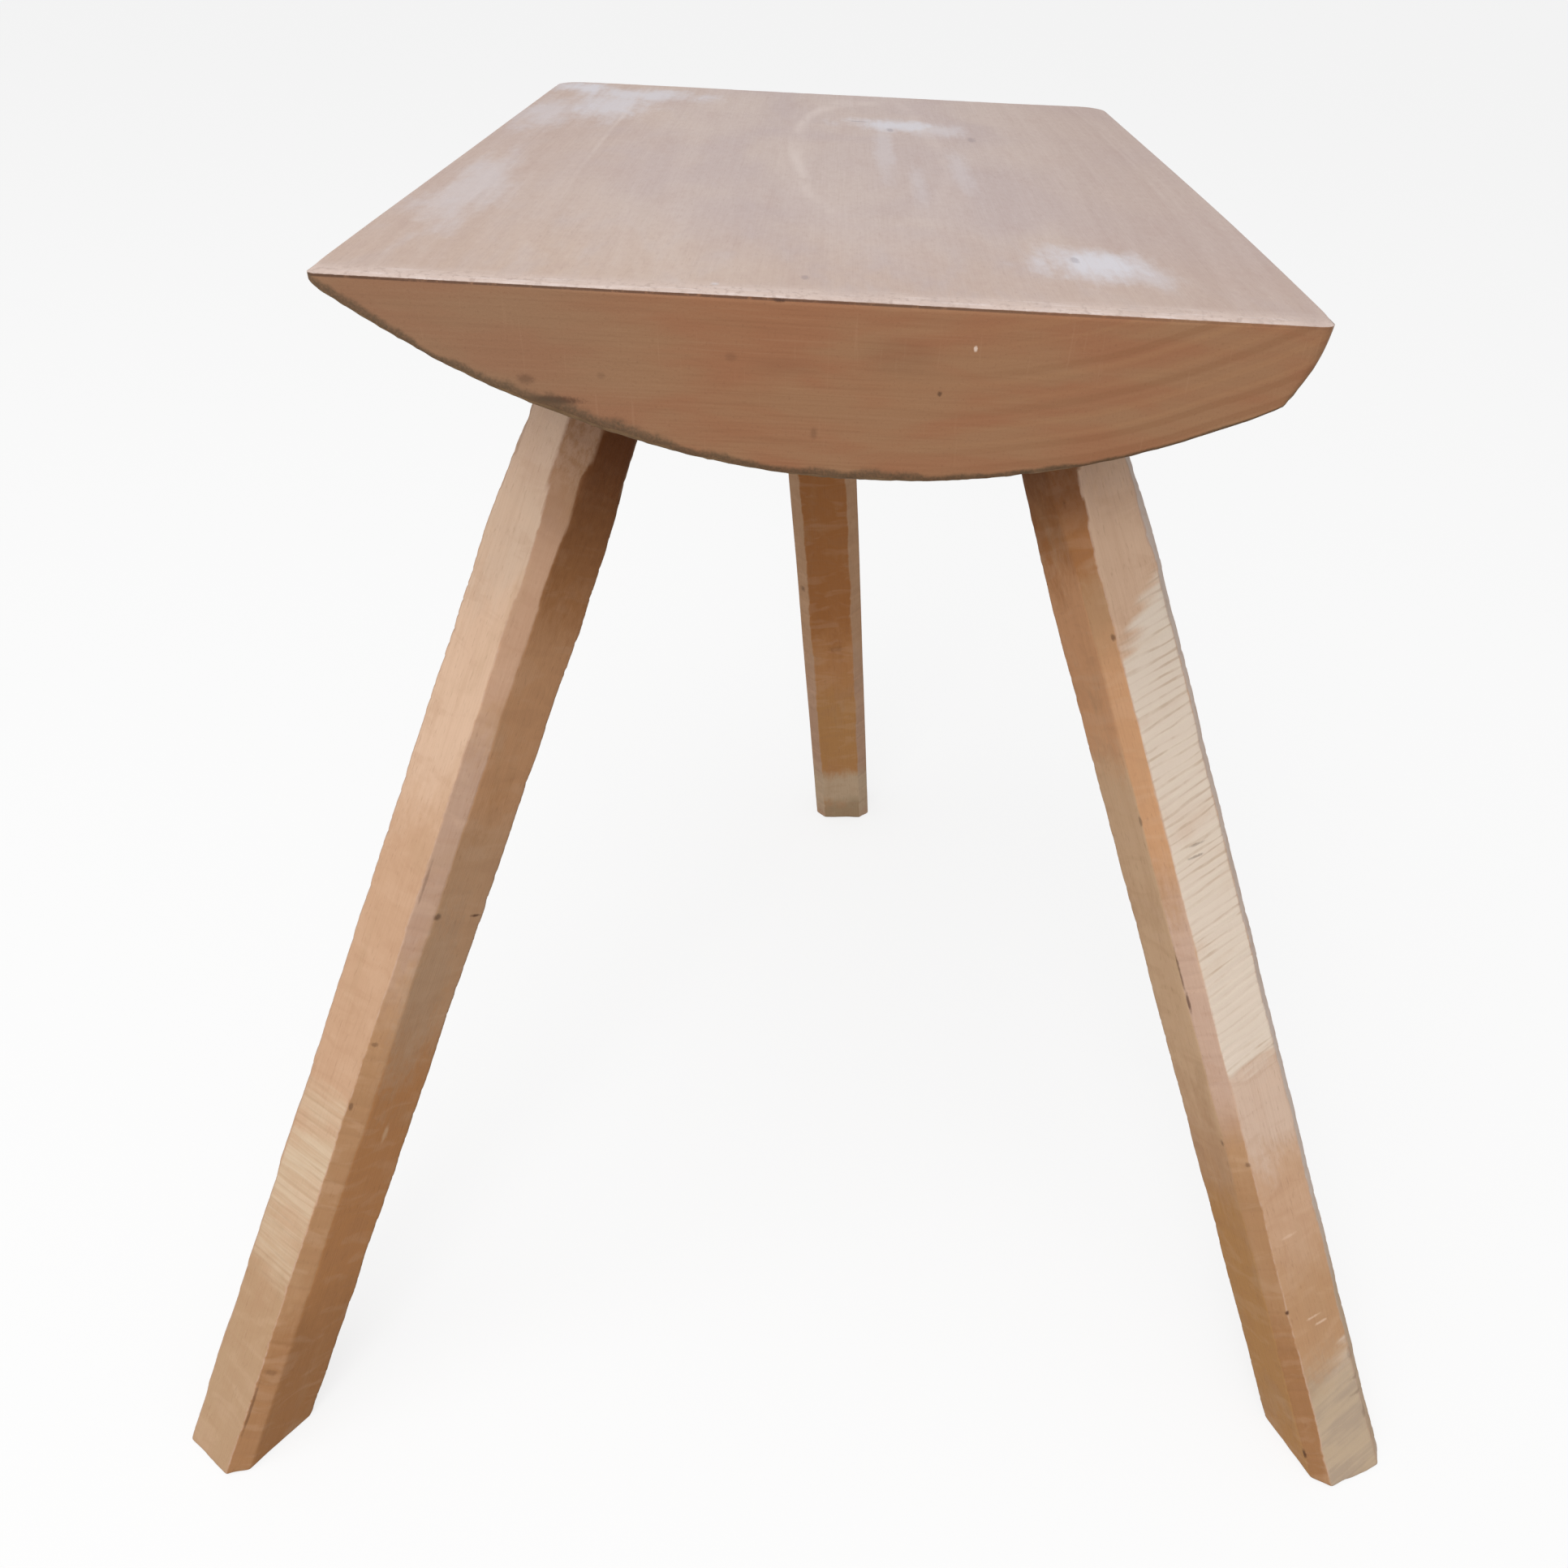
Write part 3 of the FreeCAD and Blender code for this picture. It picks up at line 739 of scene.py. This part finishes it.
def seat_wood():
    """Weathered seat: pinkish-grey sawn top, warm brown end grain and an olive-brown belly.

    The end grain's brown is darker partly as painted shade on the front end.
    """
    wood = Finish("seat_wood")
    place = wood_place(wood, SEAT_PLACE)
    across, along, deep = wood.add("SeparateXYZ", {0: place}).outputs
    fibre = wood.cloud(place, (0.7, 34, 0.7), 3, 0.6)
    streak = wood.cloud(place, (5, 240, 5), 3, 0.6)
    mist = wood.cloud(place, (62, 105, 62), 3, 0.5, 0.6)
    mottle = wood.cloud(place, (13, 34, 10), 4, 0.55, 0.4)
    fleck = wood.cloud(place, (0.8, 4.5, 0.8), 2, 0.5)
    pores = wood.cloud(place, (0.9, 2.0, 0.9), 3, 0.65)
    fine = wood.cloud(place, (2.6, 5.5, 2.6), 5, 0.65)
    waver = wood.swing(wood.cloud(place, (70, 260, 50), 2, 0.5), 0.0022)

    aside = wood.calc("SUBTRACT", across, RING_CENTRE * MM)
    under = wood.calc("SUBTRACT", deep, ring_middle() * MM)
    rings = wood.calc("SQRT", wood.calc("MULTIPLY_ADD", under, under, wood.product(aside, aside)))
    bow = wood.calc("SUBTRACT", along, BOW_PLACE * MM)
    bow = wood.product(bow, bow, BOW)
    rings = wood.calc("ADD", wood.calc("ADD", rings, bow), waver)
    bands = lines_of(wood, rings, 4.0, 1.0)
    thin_rings = lines_of(wood, rings, 1.1, 2.0)

    top = wood.blend(wood.graded(mist, 0.36, 0.64), (190, 173, 169), (198, 181, 173))
    near_front = wood.graded(along, 0.12, 0.0, 0.0, 0.5)
    warm = wood.calc("ADD", near_front, wood.graded(across, -0.03, -0.13, 0.0, 0.35))
    top = wood.blend(wood.product(warm, wood.graded(mottle, 0.2, 0.6)), top, (200, 174, 154))
    top = wood.coats(top, (
        (across, 0.055, 0.115, 0.6, (184, 162, 152)),
        (across, -0.07, -0.12, 0.45, (186, 164, 154)),
        (bands, 0.38, 0.66, 0.14, (214, 198, 190)),
        (streak, 0.42, 0.7, 0.09, (174, 150, 144)),
        (mottle, 0.5, 0.75, 0.22, (178, 152, 144)),
        (fibre, 0.4, 0.72, 0.05, (168, 144, 136)),
        (fleck, 0.6, 0.74, 0.16, (150, 122, 110)),
        (fine, 0.46, 0.66, 0.14, (172, 146, 136)),
        (fine, 0.46, 0.3, 0.12, (216, 202, 194)),
    ))
    fades = wood.product(wood.graded(mottle, 0.3, 0.6), wood.graded(along, 0.06, 0.18))
    fades = wood.product(fades, wood.graded(across, 0.05, -0.01, 0.4, 1.0))
    for distance, width, strength in PALE_RINGS:
        off = wood.calc("SUBTRACT", rings, (ring_middle() + distance) * MM)
        line = wood.graded(wood.calc("ABSOLUTE", off), width * MM, 0.0, 0.0, strength)
        top = wood.blend(wood.product(line, fades), top, (218, 204, 197))
    ragged = wood.calc("ADD", wood.swing(fine, 0.4), wood.swing(mottle, 1.2))
    ragged = wood.calc("ADD", ragged, wood.swing(streak, 0.5))
    chalk = 0.0
    for patch in CHALK:
        chalk = wood.calc("MAXIMUM", chalk, wood.spot(place, patch, ragged, 0.8))
    chalk = wood.product(chalk, wood.graded(fibre, 0.15, 0.55, 0.75, 1.0))
    top = wood.blend(chalk, top, (212, 208, 213))
    top = wood.spotted(top, place, TOP_SPECKS, wood.swing(fine, 0.8), 0.5, (118, 104, 112))
    rim = wood.value("front_rim")
    crumbs = wood.cloud(place, (2.0, 2.4, 2.0), 3, 0.6)
    scuffs = wood.cloud(place, (18, 1.6, 4), 3, 0.55)
    rim_tone = wood.coats((209, 189, 179), ((scuffs, 0.5, 0.66, 0.6, (226, 211, 206)),))
    on_rim = wood.graded(rim, 0.05, 0.5)
    rim_tone = wood.coats(rim_tone, ((crumbs, 0.5, 0.68, 0.36, (150, 128, 118)),), on_rim)
    top = wood.blend(wood.product(rim, wood.graded(mottle, 0.3, 0.6, 0.45, 0.95)), top, rim_tone)

    saw_lines = wood.cloud(place, (42, 60, 0.9), 3, 0.6, 0.2)
    sawn_left = wood.graded(across, 0.09, -0.02, 0.35, 1.0)
    rings_show = wood.graded(across, 0.0, 0.1, 0.12, 1.0)
    blush = wood.cloud(place, (46, 40, 12), 3, 0.5, 0.3)
    # The end's browns are darker partly as painted shade on the front end
    end = wood.blend(wood.graded(blush, 0.36, 0.64), (158, 117, 85), (157, 108, 77))
    end = wood.coats(end, (
        (bands, 0.48, 0.66, 0.26, (174, 130, 92)),
        (bands, 0.48, 0.34, 0.26, (132, 88, 56)),
    ), rings_show)
    end = wood.coats(end, ((thin_rings, 0.45, 0.7, 0.08, (142, 96, 68)),))
    end = wood.coats(end, (
        (saw_lines, 0.5, 0.66, 0.22, (134, 92, 64)),
        (saw_lines, 0.46, 0.32, 0.2, (172, 132, 100)),
    ), sawn_left)
    checks = wood.cloud(place, (1.3, 60, 26), 2, 0.5)
    end = wood.coats(end, (
        (across, -0.02, -0.10, 0.4, (146, 116, 92)),
        (pores, 0.54, 0.76, 0.3, (118, 80, 58)),
        (checks, 0.63, 0.74, 0.1, (190, 150, 118)),
    ))
    end = wood.spotted(end, place, END_SPOTS, wood.swing(pores, 0.9), 0.6, (86, 58, 42))
    end = wood.spotted(end, place, END_CHIP, wood.swing(pores, 0.6), 0.4, (226, 200, 182))
    # Thin dark line just under the top arris of the front end: painted shade under the arris, with
    # some dirt
    line = wood.graded(wood.calc("ABSOLUTE", wood.calc("ADD", deep, 0.0011)), 0.0006, 0.0002)
    line = wood.product(line, wood.graded(along, 0.01, 0.004), wood.graded(fine, 0.3, 0.5, 0.4, 1.0))
    line = wood.product(line, wood.graded(across, 0.02, 0.12, 0.75, 0.3))
    end = wood.blend(line, end, (76, 52, 42))
    # Darker band along the belly's arris at the foot of the end faces: painted shade where the end
    # turns under, with some grime
    over = wood.calc("ADD", wood.value("over_arris"), wood.swing(fine, 0.9))
    grime_and_shade = wood.product(wood.graded(over, 1.9, 0.6), wood.graded(pores, 0.3, 0.6, 0.6, 1.0))
    end = wood.blend(wood.product(grime_and_shade, 0.8), end, (88, 72, 54))
    colour = wood.blend(wood.value("end_grain"), top, end)

    bark = wood.blend(wood.graded(streak, 0.3, 0.7), (116, 90, 64), (146, 116, 84))
    bark = wood.coats(bark, (
        (mottle, 0.4, 0.7, 0.8, (94, 74, 52)),
        (fine, 0.5, 0.75, 0.4, (148, 118, 88)),
        (wood.value("hollow"), 0.7, 0.25, 0.3, (150, 118, 86)),
    ))
    colour = wood.blend(wood.value("bark_side"), colour, bark)

    relief = wood.calc("ADD", wood.product(fibre, 0.3), wood.product(pores, 0.5))
    relief = wood.calc("MULTIPLY_ADD", wood.product(rim, fine), 1.6, relief)
    return wood.bare_wood(colour, fibre, relief, 0.25)


# Tones of the legs' bare wood; dark is the tone of the painted shade under the seat
WOOD_TONES = {
    "pale": (217, 184, 157), "peach": (200, 161, 130), "grey_peach": (200, 172, 148),
    "tan": (182, 148, 114), "orange": (186, 144, 106), "rust": (207, 157, 116),
    "pink": (184, 152, 132), "rose": (200, 168, 148), "pale_rose": (211, 183, 162),
    "brown": (158, 112, 72), "toast": (190, 134, 86), "honey": (188, 138, 84),
    "umber": (168, 109, 60), "sand": (198, 156, 120), "amber": (216, 160, 117),
    "cinnamon": (168, 126, 88), "pink_sand": (196, 157, 130), "light_sand": (216, 180, 144),
    "ash": (172, 148, 118), "dark": (98, 52, 20), "cream": (228, 213, 197), "buff": (204, 178, 148),
    "light_buff": (214, 192, 164), "white_cream": (229, 215, 198), "mist": (226, 211, 200),
    "dim_peach": (209, 181, 157), "groove": (176, 144, 114), "worn": (193, 170, 143),
    "grey_worn": (176, 154, 132), "knot": (84, 54, 38),
}

# Tone of each kind of face, then the bands where it changes: height, reach, tone and strength.
# The shadows have the heights where they begin and are full, and shadow the strength of both.
# sawn has its ground and crest tones and the strength of its cuts; fuzz and foot are the
# strengths of the whittled arris's light fibres and of the trodden foot.
FACE_TONES = {
    "front_left": {
        # The dim_peach band at 418 mm on the outer face is painted light, lightening the face where
        # the seat shades it
        "outer": (
            "peach", (344, 54, "pale", 0.95), (418, 44, "dim_peach", 0.95), (35, 66, "tan", 0.9),
        ),
        "arris": (
            "orange", (272, 62, "pink", 0.9), (368, 40, "pink_sand", 0.85),
            (130, 76, "cinnamon", 0.85), (15, 45, "brown", 0.75),
        ),
        "side": ("toast", (244, 54, "sand", 1), (330, 38, "rust", 0.9), (10, 60, "brown", 0.6)),
        "far": ("grey_peach",), "shadow": (338, 450, 0.98), "arris_shadow": (384, 446), "fuzz": 0.8,
        "sawn": ("buff", "light_buff", 0.3), "foot": 0.1,
    },
    "front_right": {
        "outer": (
            "peach", (404, 48, "pale", 0.8), (170, 24, "pale_rose", 1), (66, 34, "orange", 0.9),
            (12, 24, "ash", 0.7),
        ),
        # Near the top, the umber bands on the arris at 422 mm and on the side at 430 mm are painted
        # shade under the seat
        "arris": (
            "orange", (322, 44, "rust", 0.85), (215, 48, "rose", 0.95), (100, 56, "cinnamon", 0.75),
            (28, 44, "brown", 0.9), (422, 30, "umber", 0.8),
        ),
        "side": (
            "sand", (222, 54, "light_sand", 0.95), (304, 40, "light_sand", 0.9),
            (370, 44, "amber", 0.9), (62, 70, "honey", 0.9), (430, 30, "umber", 0.9),
        ),
        # The pale mist of the far arris is painted light, laid on an arris that the lamps leave in
        # shade
        "far": ("mist", (40, 62, "buff", 0.9)), "shadow": (398, 454, 0.95),
        "arris_shadow": (408, 428), "fuzz": 0.25, "sawn": ("cream", "white_cream", 0.4),
        "foot": 0.9,
    },
    "back": {
        "outer": ("peach", (330, 90, "tan", 0.6), (60, 60, "tan", 0.7)),
        "arris": ("pink_sand", (250, 100, "sand", 0.8), (30, 24, "buff", 0.9)),
        "side": (
            "toast", (262, 78, "umber", 0.95), (98, 40, "honey", 0.7), (37, 16, "buff", 0.95),
            (6, 18, "ash", 0.9),
        ),
        "far": ("tan",), "shadow": (290, 420, 0.9), "arris_shadow": (336, 416), "fuzz": 0.8,
        "sawn": ("buff", "light_buff", 0.4), "foot": 0.2,
    },
}

# Knots, nicks and bright flecks of each tone: centre and reach in the frame of the leg's
# section, and strength
LEG_MARKS = {
    "front_left": {
        "knot": (
            (-11, -19, 249, 1.7, 1.7, 1.3, 0.7), (8.8, -18.2, 248.4, 2.2, 2, 0.6, 0.8),
            (-16.5, -13.5, 193, 1.2, 1.2, 0.9, 0.45), (-17.4, -13, 165, 0.7, 0.7, 1.5, 0.55),
            (-15.5, -15.5, 42, 2.4, 2.4, 1.2, 0.3), (-17.5, -13.2, 24, 0.5, 0.5, 13, 0.5),
            (-17.3, -13.2, 262, 0.5, 0.5, 8, 0.35),
        ),
        "light_sand": ((0, -18, 152, 1.2, 3, 3.6, 0.6),),
        "grey_worn": ((-4, -18, 212, 9, 3, 40, 0.25),),
    },
    "front_right": {
        "knot": (
            (-13.5, 17, 422, 1, 1, 2.6, 0.7), (-17.5, 13, 371, 0.9, 0.9, 1.2, 0.6),
            (-12, 18, 299, 0.8, 0.8, 2.2, 0.5), (-12.2, 18, 236, 0.5, 0.6, 8, 0.6),
            (-12.6, 18, 222, 0.6, 0.7, 5, 0.75), (-11, 19, 159, 1, 1, 1.4, 0.55),
            (-17.5, 13, 149, 0.9, 0.9, 1.2, 0.5), (-18, 12.5, 79, 0.8, 0.8, 1, 0.9),
            (-12.5, 18, 9, 0.8, 0.8, 2.4, 0.85), (-18, 0, 284, 9, 3, 0.5, 0.4),
            (-18, 2, 279.5, 9, 3, 0.5, 0.45), (-18, -12.5, 46, 3, 1.6, 3, 0.22),
            (-18, -12.5, 34, 3, 2.4, 0.8, 0.3), (-18, -12, 27, 3, 3.4, 0.7, 0.26),
            (-18, -13, 16, 3, 2, 2.4, 0.26),
        ),
        "pale": (
            (-18, 1, 71, 7, 3, 0.5, 0.7), (-18, -2, 67, 8, 3, 0.6, 0.8),
            (-18, 3, 111, 8, 3, 0.6, 0.6),
        ),
    },
    "back": {"knot": ((16, -16.5, 219, 2, 2, 2.4, 0.6), (18, 2, 172, 5, 4, 2, 0.16))},
}


def banded_tone(wood, height, wash, ground, *bands):
    """Tone of a face, with soft bands across it round their heights."""
    colour = WOOD_TONES[ground]
    for level, reach, tone, strength in bands:
        off = wood.calc("MULTIPLY_ADD", height, 1 / (reach * MM), -level / reach)
        away = wood.calc("ADD", wood.calc("ABSOLUTE", off), wash)
        colour = wood.blend(wood.graded(away, 1.45, 0.55, 0.0, strength), colour, WOOD_TONES[tone])
    return colour


def leg_wood(name, leg):
    """Leg of the same wood: pale outer face, browner sides and orange-brown chamfers.

    The sides are browner partly as painted shade, and towards the seat the sides and
    chamfers darken further as painted shade.
    """
    wood = Finish(f"{name}_wood")
    turn, foot, _, _ = leg_frame(leg)
    turn = Matrix(turn.tolist()) @ Matrix.Rotation(math.radians(leg["twist"]), 3, "Z")
    place = wood_place(wood, foot, tuple(turn.to_euler()))
    across, sideways, height = wood.add("SeparateXYZ", {0: place}).outputs
    fibre = wood.cloud(place, (0.7, 0.7, 30), 3, 0.6)
    streak = wood.cloud(place, (5, 5, 150), 3, 0.6)
    drift = wood.cloud(place, (22, 22, 46), 4, 0.6, 0.5)
    figure = wood.cloud(place, (20, 20, 8), 3, 0.5, 0.8)
    fleck = wood.cloud(place, (0.8, 0.8, 4.0), 2, 0.5)
    fine = wood.cloud(place, (2.2, 2.2, 4.0), 5, 0.65)
    path = wood.value("saw_path")
    stroke = wood.add("CombineXYZ", {0: across, 1: sideways, 2: path}).outputs[0]
    strokes = wood.cloud(stroke, (110, 110, 1.8), 2, 0.5)
    patches = wood.cloud(stroke, (26, 26, 9.0), 3, 0.55)
    jitter = wood.swing(wood.cloud(stroke, (60, 60, 9.0), 3, 0.6), 5.5)
    turns = wood.calc("MULTIPLY_ADD", path, float(TURN / (SAWN[name]["pitch"] * MM)), jitter)
    teeth = wood.calc("SINE", turns)
    breaks = wood.cloud(stroke, (15, 15, 5.0), 3, 0.6)

    outer = wood.value("outer")
    arris = wood.value("arris_face")
    whittled = wood.value("whittled")
    tones = FACE_TONES[name]
    dark = WOOD_TONES["dark"]
    ruffle = wood.swing(fine, 1.0)
    uneven = wood.calc("MULTIPLY_ADD", ruffle, 0.012, height)
    wash = wood.calc("ADD", wood.swing(drift, 0.8), wood.swing(fine, 0.3))
    kinds = ("side", "outer", "arris", "far")
    side, face, edge, far = (banded_tone(wood, height, wash, *tones[kind]) for kind in kinds)
    # Painted shade under the seat: the sides darken to the dark tone towards the top, and the arrises
    # do so between the heights of arris_shadow
    start, end, darkest = tones["shadow"]
    shadow = wood.graded(uneven, start * MM, end * MM, 0.0, darkest)
    start, end = tones["arris_shadow"]
    edge_shadow = wood.graded(height, start * MM, end * MM, 0.0, darkest)
    edge_shadow = wood.product(edge_shadow, wood.calc("MULTIPLY_ADD", whittled, -0.25, 0.85))
    colour = wood.blend(outer, wood.blend(shadow, side, dark), face)
    colour = wood.blend(arris, colour, wood.blend(edge_shadow, edge, dark))
    colour = wood.blend(wood.product(wood.value("far_arris"), 0.85), colour, far)
    fuzzy = wood.product(whittled, wood.graded(fine, 0.36, 0.6, 0.2, 1.0), 0.4)
    fuzzy = wood.product(fuzzy, wood.calc("MULTIPLY_ADD", arris, tones["fuzz"], outer))
    colour = wood.blend(fuzzy, colour, WOOD_TONES["rose"])
    # The wood's coats are held back where the painted shade covers the sides
    inner = wood.calc("SUBTRACT", 1.0, outer)
    clear_of_painted_shade = wood.calc("SUBTRACT", 1.0, wood.product(shadow, inner))
    colour = wood.coats(colour, (
        (drift, 0.5, 0.72, 0.25, (182, 148, 114)),
        (streak, 0.42, 0.7, 0.1, (170, 122, 90)),
        (figure, 0.5, 0.66, 0.12, (222, 188, 160)),
        (figure, 0.48, 0.34, 0.14, (170, 124, 92)),
        (fibre, 0.42, 0.75, 0.1, (150, 106, 76)),
        (fleck, 0.6, 0.74, 0.2, (136, 92, 64)),
    ), clear_of_painted_shade)

    sawn = wood.value("sawn")
    ground, crest, contrast = tones["sawn"]
    bare = wood.calc("ADD", sawn, wood.product(wood.swing(patches, 0.4), wood.graded(sawn, 0.0, 0.3)))
    bare = wood.graded(bare, 0.1, 0.72)
    lit = wood.blend(wood.graded(strokes, 0.42, 0.62), WOOD_TONES[ground], WOOD_TONES[crest])
    colour = wood.blend(wood.product(bare, 0.85), colour, lit)
    cut = wood.product(
        wood.graded(teeth, 0.45, 1.0), wood.graded(breaks, 0.36, 0.62, 0.2, 1.0),
        wood.graded(sawn, 0.0, 0.25), wood.graded(drift, 0.36, 0.6, 0.5, 1.2),
        contrast, wood.graded(sawn, 0.75, 0.95, 1.0, 0.4),
    )
    colour = wood.blend(cut, colour, WOOD_TONES["groove"])
    trodden = wood.product(wood.graded(uneven, 0.062, 0.03), outer, tones["foot"])
    dust = wood.graded(wood.calc("MULTIPLY_ADD", strokes, 0.45, patches), 0.6, 0.9)
    dusty = wood.blend(dust, WOOD_TONES["worn"], WOOD_TONES["grey_worn"])
    colour = wood.blend(trodden, colour, dusty)
    crest_line = wood.product(outer, inner, wood.graded(fine, 0.35, 0.6, 0.3, 2.6), clear_of_painted_shade)
    colour = wood.blend(crest_line, colour, WOOD_TONES["rose"])
    for tone, spots in LEG_MARKS[name].items():
        colour = wood.spotted(colour, place, spots, ruffle, 0.5, WOOD_TONES[tone])

    relief = wood.calc("ADD", wood.product(fibre, 0.5), wood.product(fine, 0.4))
    relief = wood.calc("MULTIPLY_ADD", wood.product(bare, strokes), 1.4, relief)
    relief = wood.calc("MULTIPLY_ADD", wood.product(whittled, fine), 1.2, relief)
    return wood.bare_wood(colour, fibre, relief, 0.2)


def wedge_wood(name, leg):
    """Split wedge: straight reddish fibres along the tenon."""
    wood = Finish(f"{name}_wedge_wood")
    turn, foot, _, _ = leg_frame(leg)
    place = wood_place(wood, foot, tuple(Matrix(turn.tolist()).to_euler()))
    fibre = wood.cloud(place, (0.8, 0.8, 24), 4, 0.6)
    colour = wood.blend(wood.graded(fibre, 0.3, 0.7), (150, 104, 72), (190, 146, 108))
    wood.feed(wood.shader.inputs["Base Color"], colour)
    wood.feed(wood.shader.inputs["Roughness"], wood.graded(fibre, 0.2, 0.8, 0.6, 0.8))
    return wood.owner


# Studio


def lay_floor():
    """Plain pale floor that shows white to the camera and keeps the stool's shadow."""
    wide = 12000.0
    corners = np.array([[-wide, -wide, 0], [wide, -wide, 0], [wide, wide, 0], [-wide, wide, 0]])
    floor = put_piece("studio_floor", corners, [np.array([[0, 1, 2, 3]])])
    paint = Finish("floor_paint")
    paint.nodes.remove(paint.shader)
    path = paint.add("LightPath", {})
    seen = paint.calc("MAXIMUM", path.outputs["Is Camera Ray"], path.outputs["Is Glossy Ray"])
    dull = paint.add("BsdfDiffuse", {"Color": (0.34, 0.33, 0.32, 1)}).outputs[0]
    white = paint.add("BsdfDiffuse", {"Color": (0.95, 0.95, 0.95, 1)}).outputs[0]
    glow = paint.add("Emission", {"Color": (1, 1, 1, 1), "Strength": 1.0}).outputs[0]
    shown = paint.add("MixShader", {0: 0.8, 1: white, 2: glow}).outputs[0]
    mixed = paint.add("MixShader", {0: seen, 1: dull, 2: shown}).outputs[0]
    paint.feed(paint.nodes["Material Output"].inputs["Surface"], mixed)
    floor.data.materials.append(paint.owner)


def light_studio():
    """Even sky, a broad soft lamp overhead and a weaker one from the front left."""
    sky = Finish("studio_sky", "worlds", "Background")
    bpy.context.scene.world = sky.owner
    path = sky.add("LightPath", {})
    seen = sky.calc("MAXIMUM", path.outputs["Is Camera Ray"], path.outputs["Is Glossy Ray"])
    sky.feed(sky.shader.inputs["Strength"], sky.calc("MULTIPLY_ADD", seen, 0.5, 0.5))
    sky.shader.inputs["Color"].default_value = (1, 1, 1, 1)
    target = Vector((0, 0, 0.3))
    lamps = (
        ("overhead_lamp", (-0.6, -0.5, 2.4), 2.0, 20.0),
        ("front_lamp", (-0.5, -2.5, 1.5), 1.6, 34.0),
    )
    for name, place, size, power in lamps:
        lamp = bpy.data.lights.new(name, "AREA")
        lamp.size = size
        lamp.energy = power
        holder = bpy.data.objects.new(name, lamp)
        holder.location = place
        holder.rotation_euler = (target - Vector(place)).to_track_quat("-Z", "Y").to_euler()
        bpy.context.scene.collection.objects.link(holder)


def set_camera():
    """Camera at the photograph's viewpoint, with its roll and its off-centre framing."""
    yaw, down, roll = (math.radians(CAMERA[key]) for key in ("yaw", "down", "roll"))
    right = Vector((math.cos(yaw), math.sin(yaw), 0))
    level = math.cos(down)
    ahead = Vector((-math.sin(yaw) * level, math.cos(yaw) * level, -math.sin(down)))
    up = right.cross(ahead)
    rolled_right = math.cos(roll) * right + math.sin(roll) * up
    rolled_up = math.cos(roll) * up - math.sin(roll) * right
    lens = bpy.data.cameras.new("photo_camera")
    lens.sensor_fit = "HORIZONTAL"
    lens.sensor_width = 36.0
    lens.lens = CAMERA["focal_pixels"] / PICTURE_SIDE * lens.sensor_width
    lens.shift_x = 0.5 - CAMERA["centre_pixels"][0] / PICTURE_SIDE
    lens.shift_y = CAMERA["centre_pixels"][1] / PICTURE_SIDE - 0.5
    lens.clip_start = 0.01
    camera = bpy.data.objects.new("photo_camera", lens)
    camera.matrix_world = Matrix((rolled_right, rolled_up, -ahead)).transposed().to_4x4()
    camera.location = Vector(CAMERA["place"]) * MM
    bpy.context.scene.collection.objects.link(camera)
    bpy.context.scene.camera = camera


seat = make_seat()
seat.data.materials.clear()
seat.data.materials.append(seat_wood())
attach(seat, "root")
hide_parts("seat_slab")
for leg_name, leg_facts in LEGS.items():
    stick = make_leg(leg_name, leg_facts)
    stick.data.materials.clear()
    stick.data.materials.append(leg_wood(leg_name, leg_facts))
    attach(stick, "root")
    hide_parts(f"{leg_name}_leg")
    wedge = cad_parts[f"{leg_name}_wedge"]
    wedge.data.materials.clear()
    wedge.data.materials.append(wedge_wood(leg_name, leg_facts))

lay_floor()
light_studio()
set_camera()
bpy.context.scene.view_settings.view_transform = "Standard"
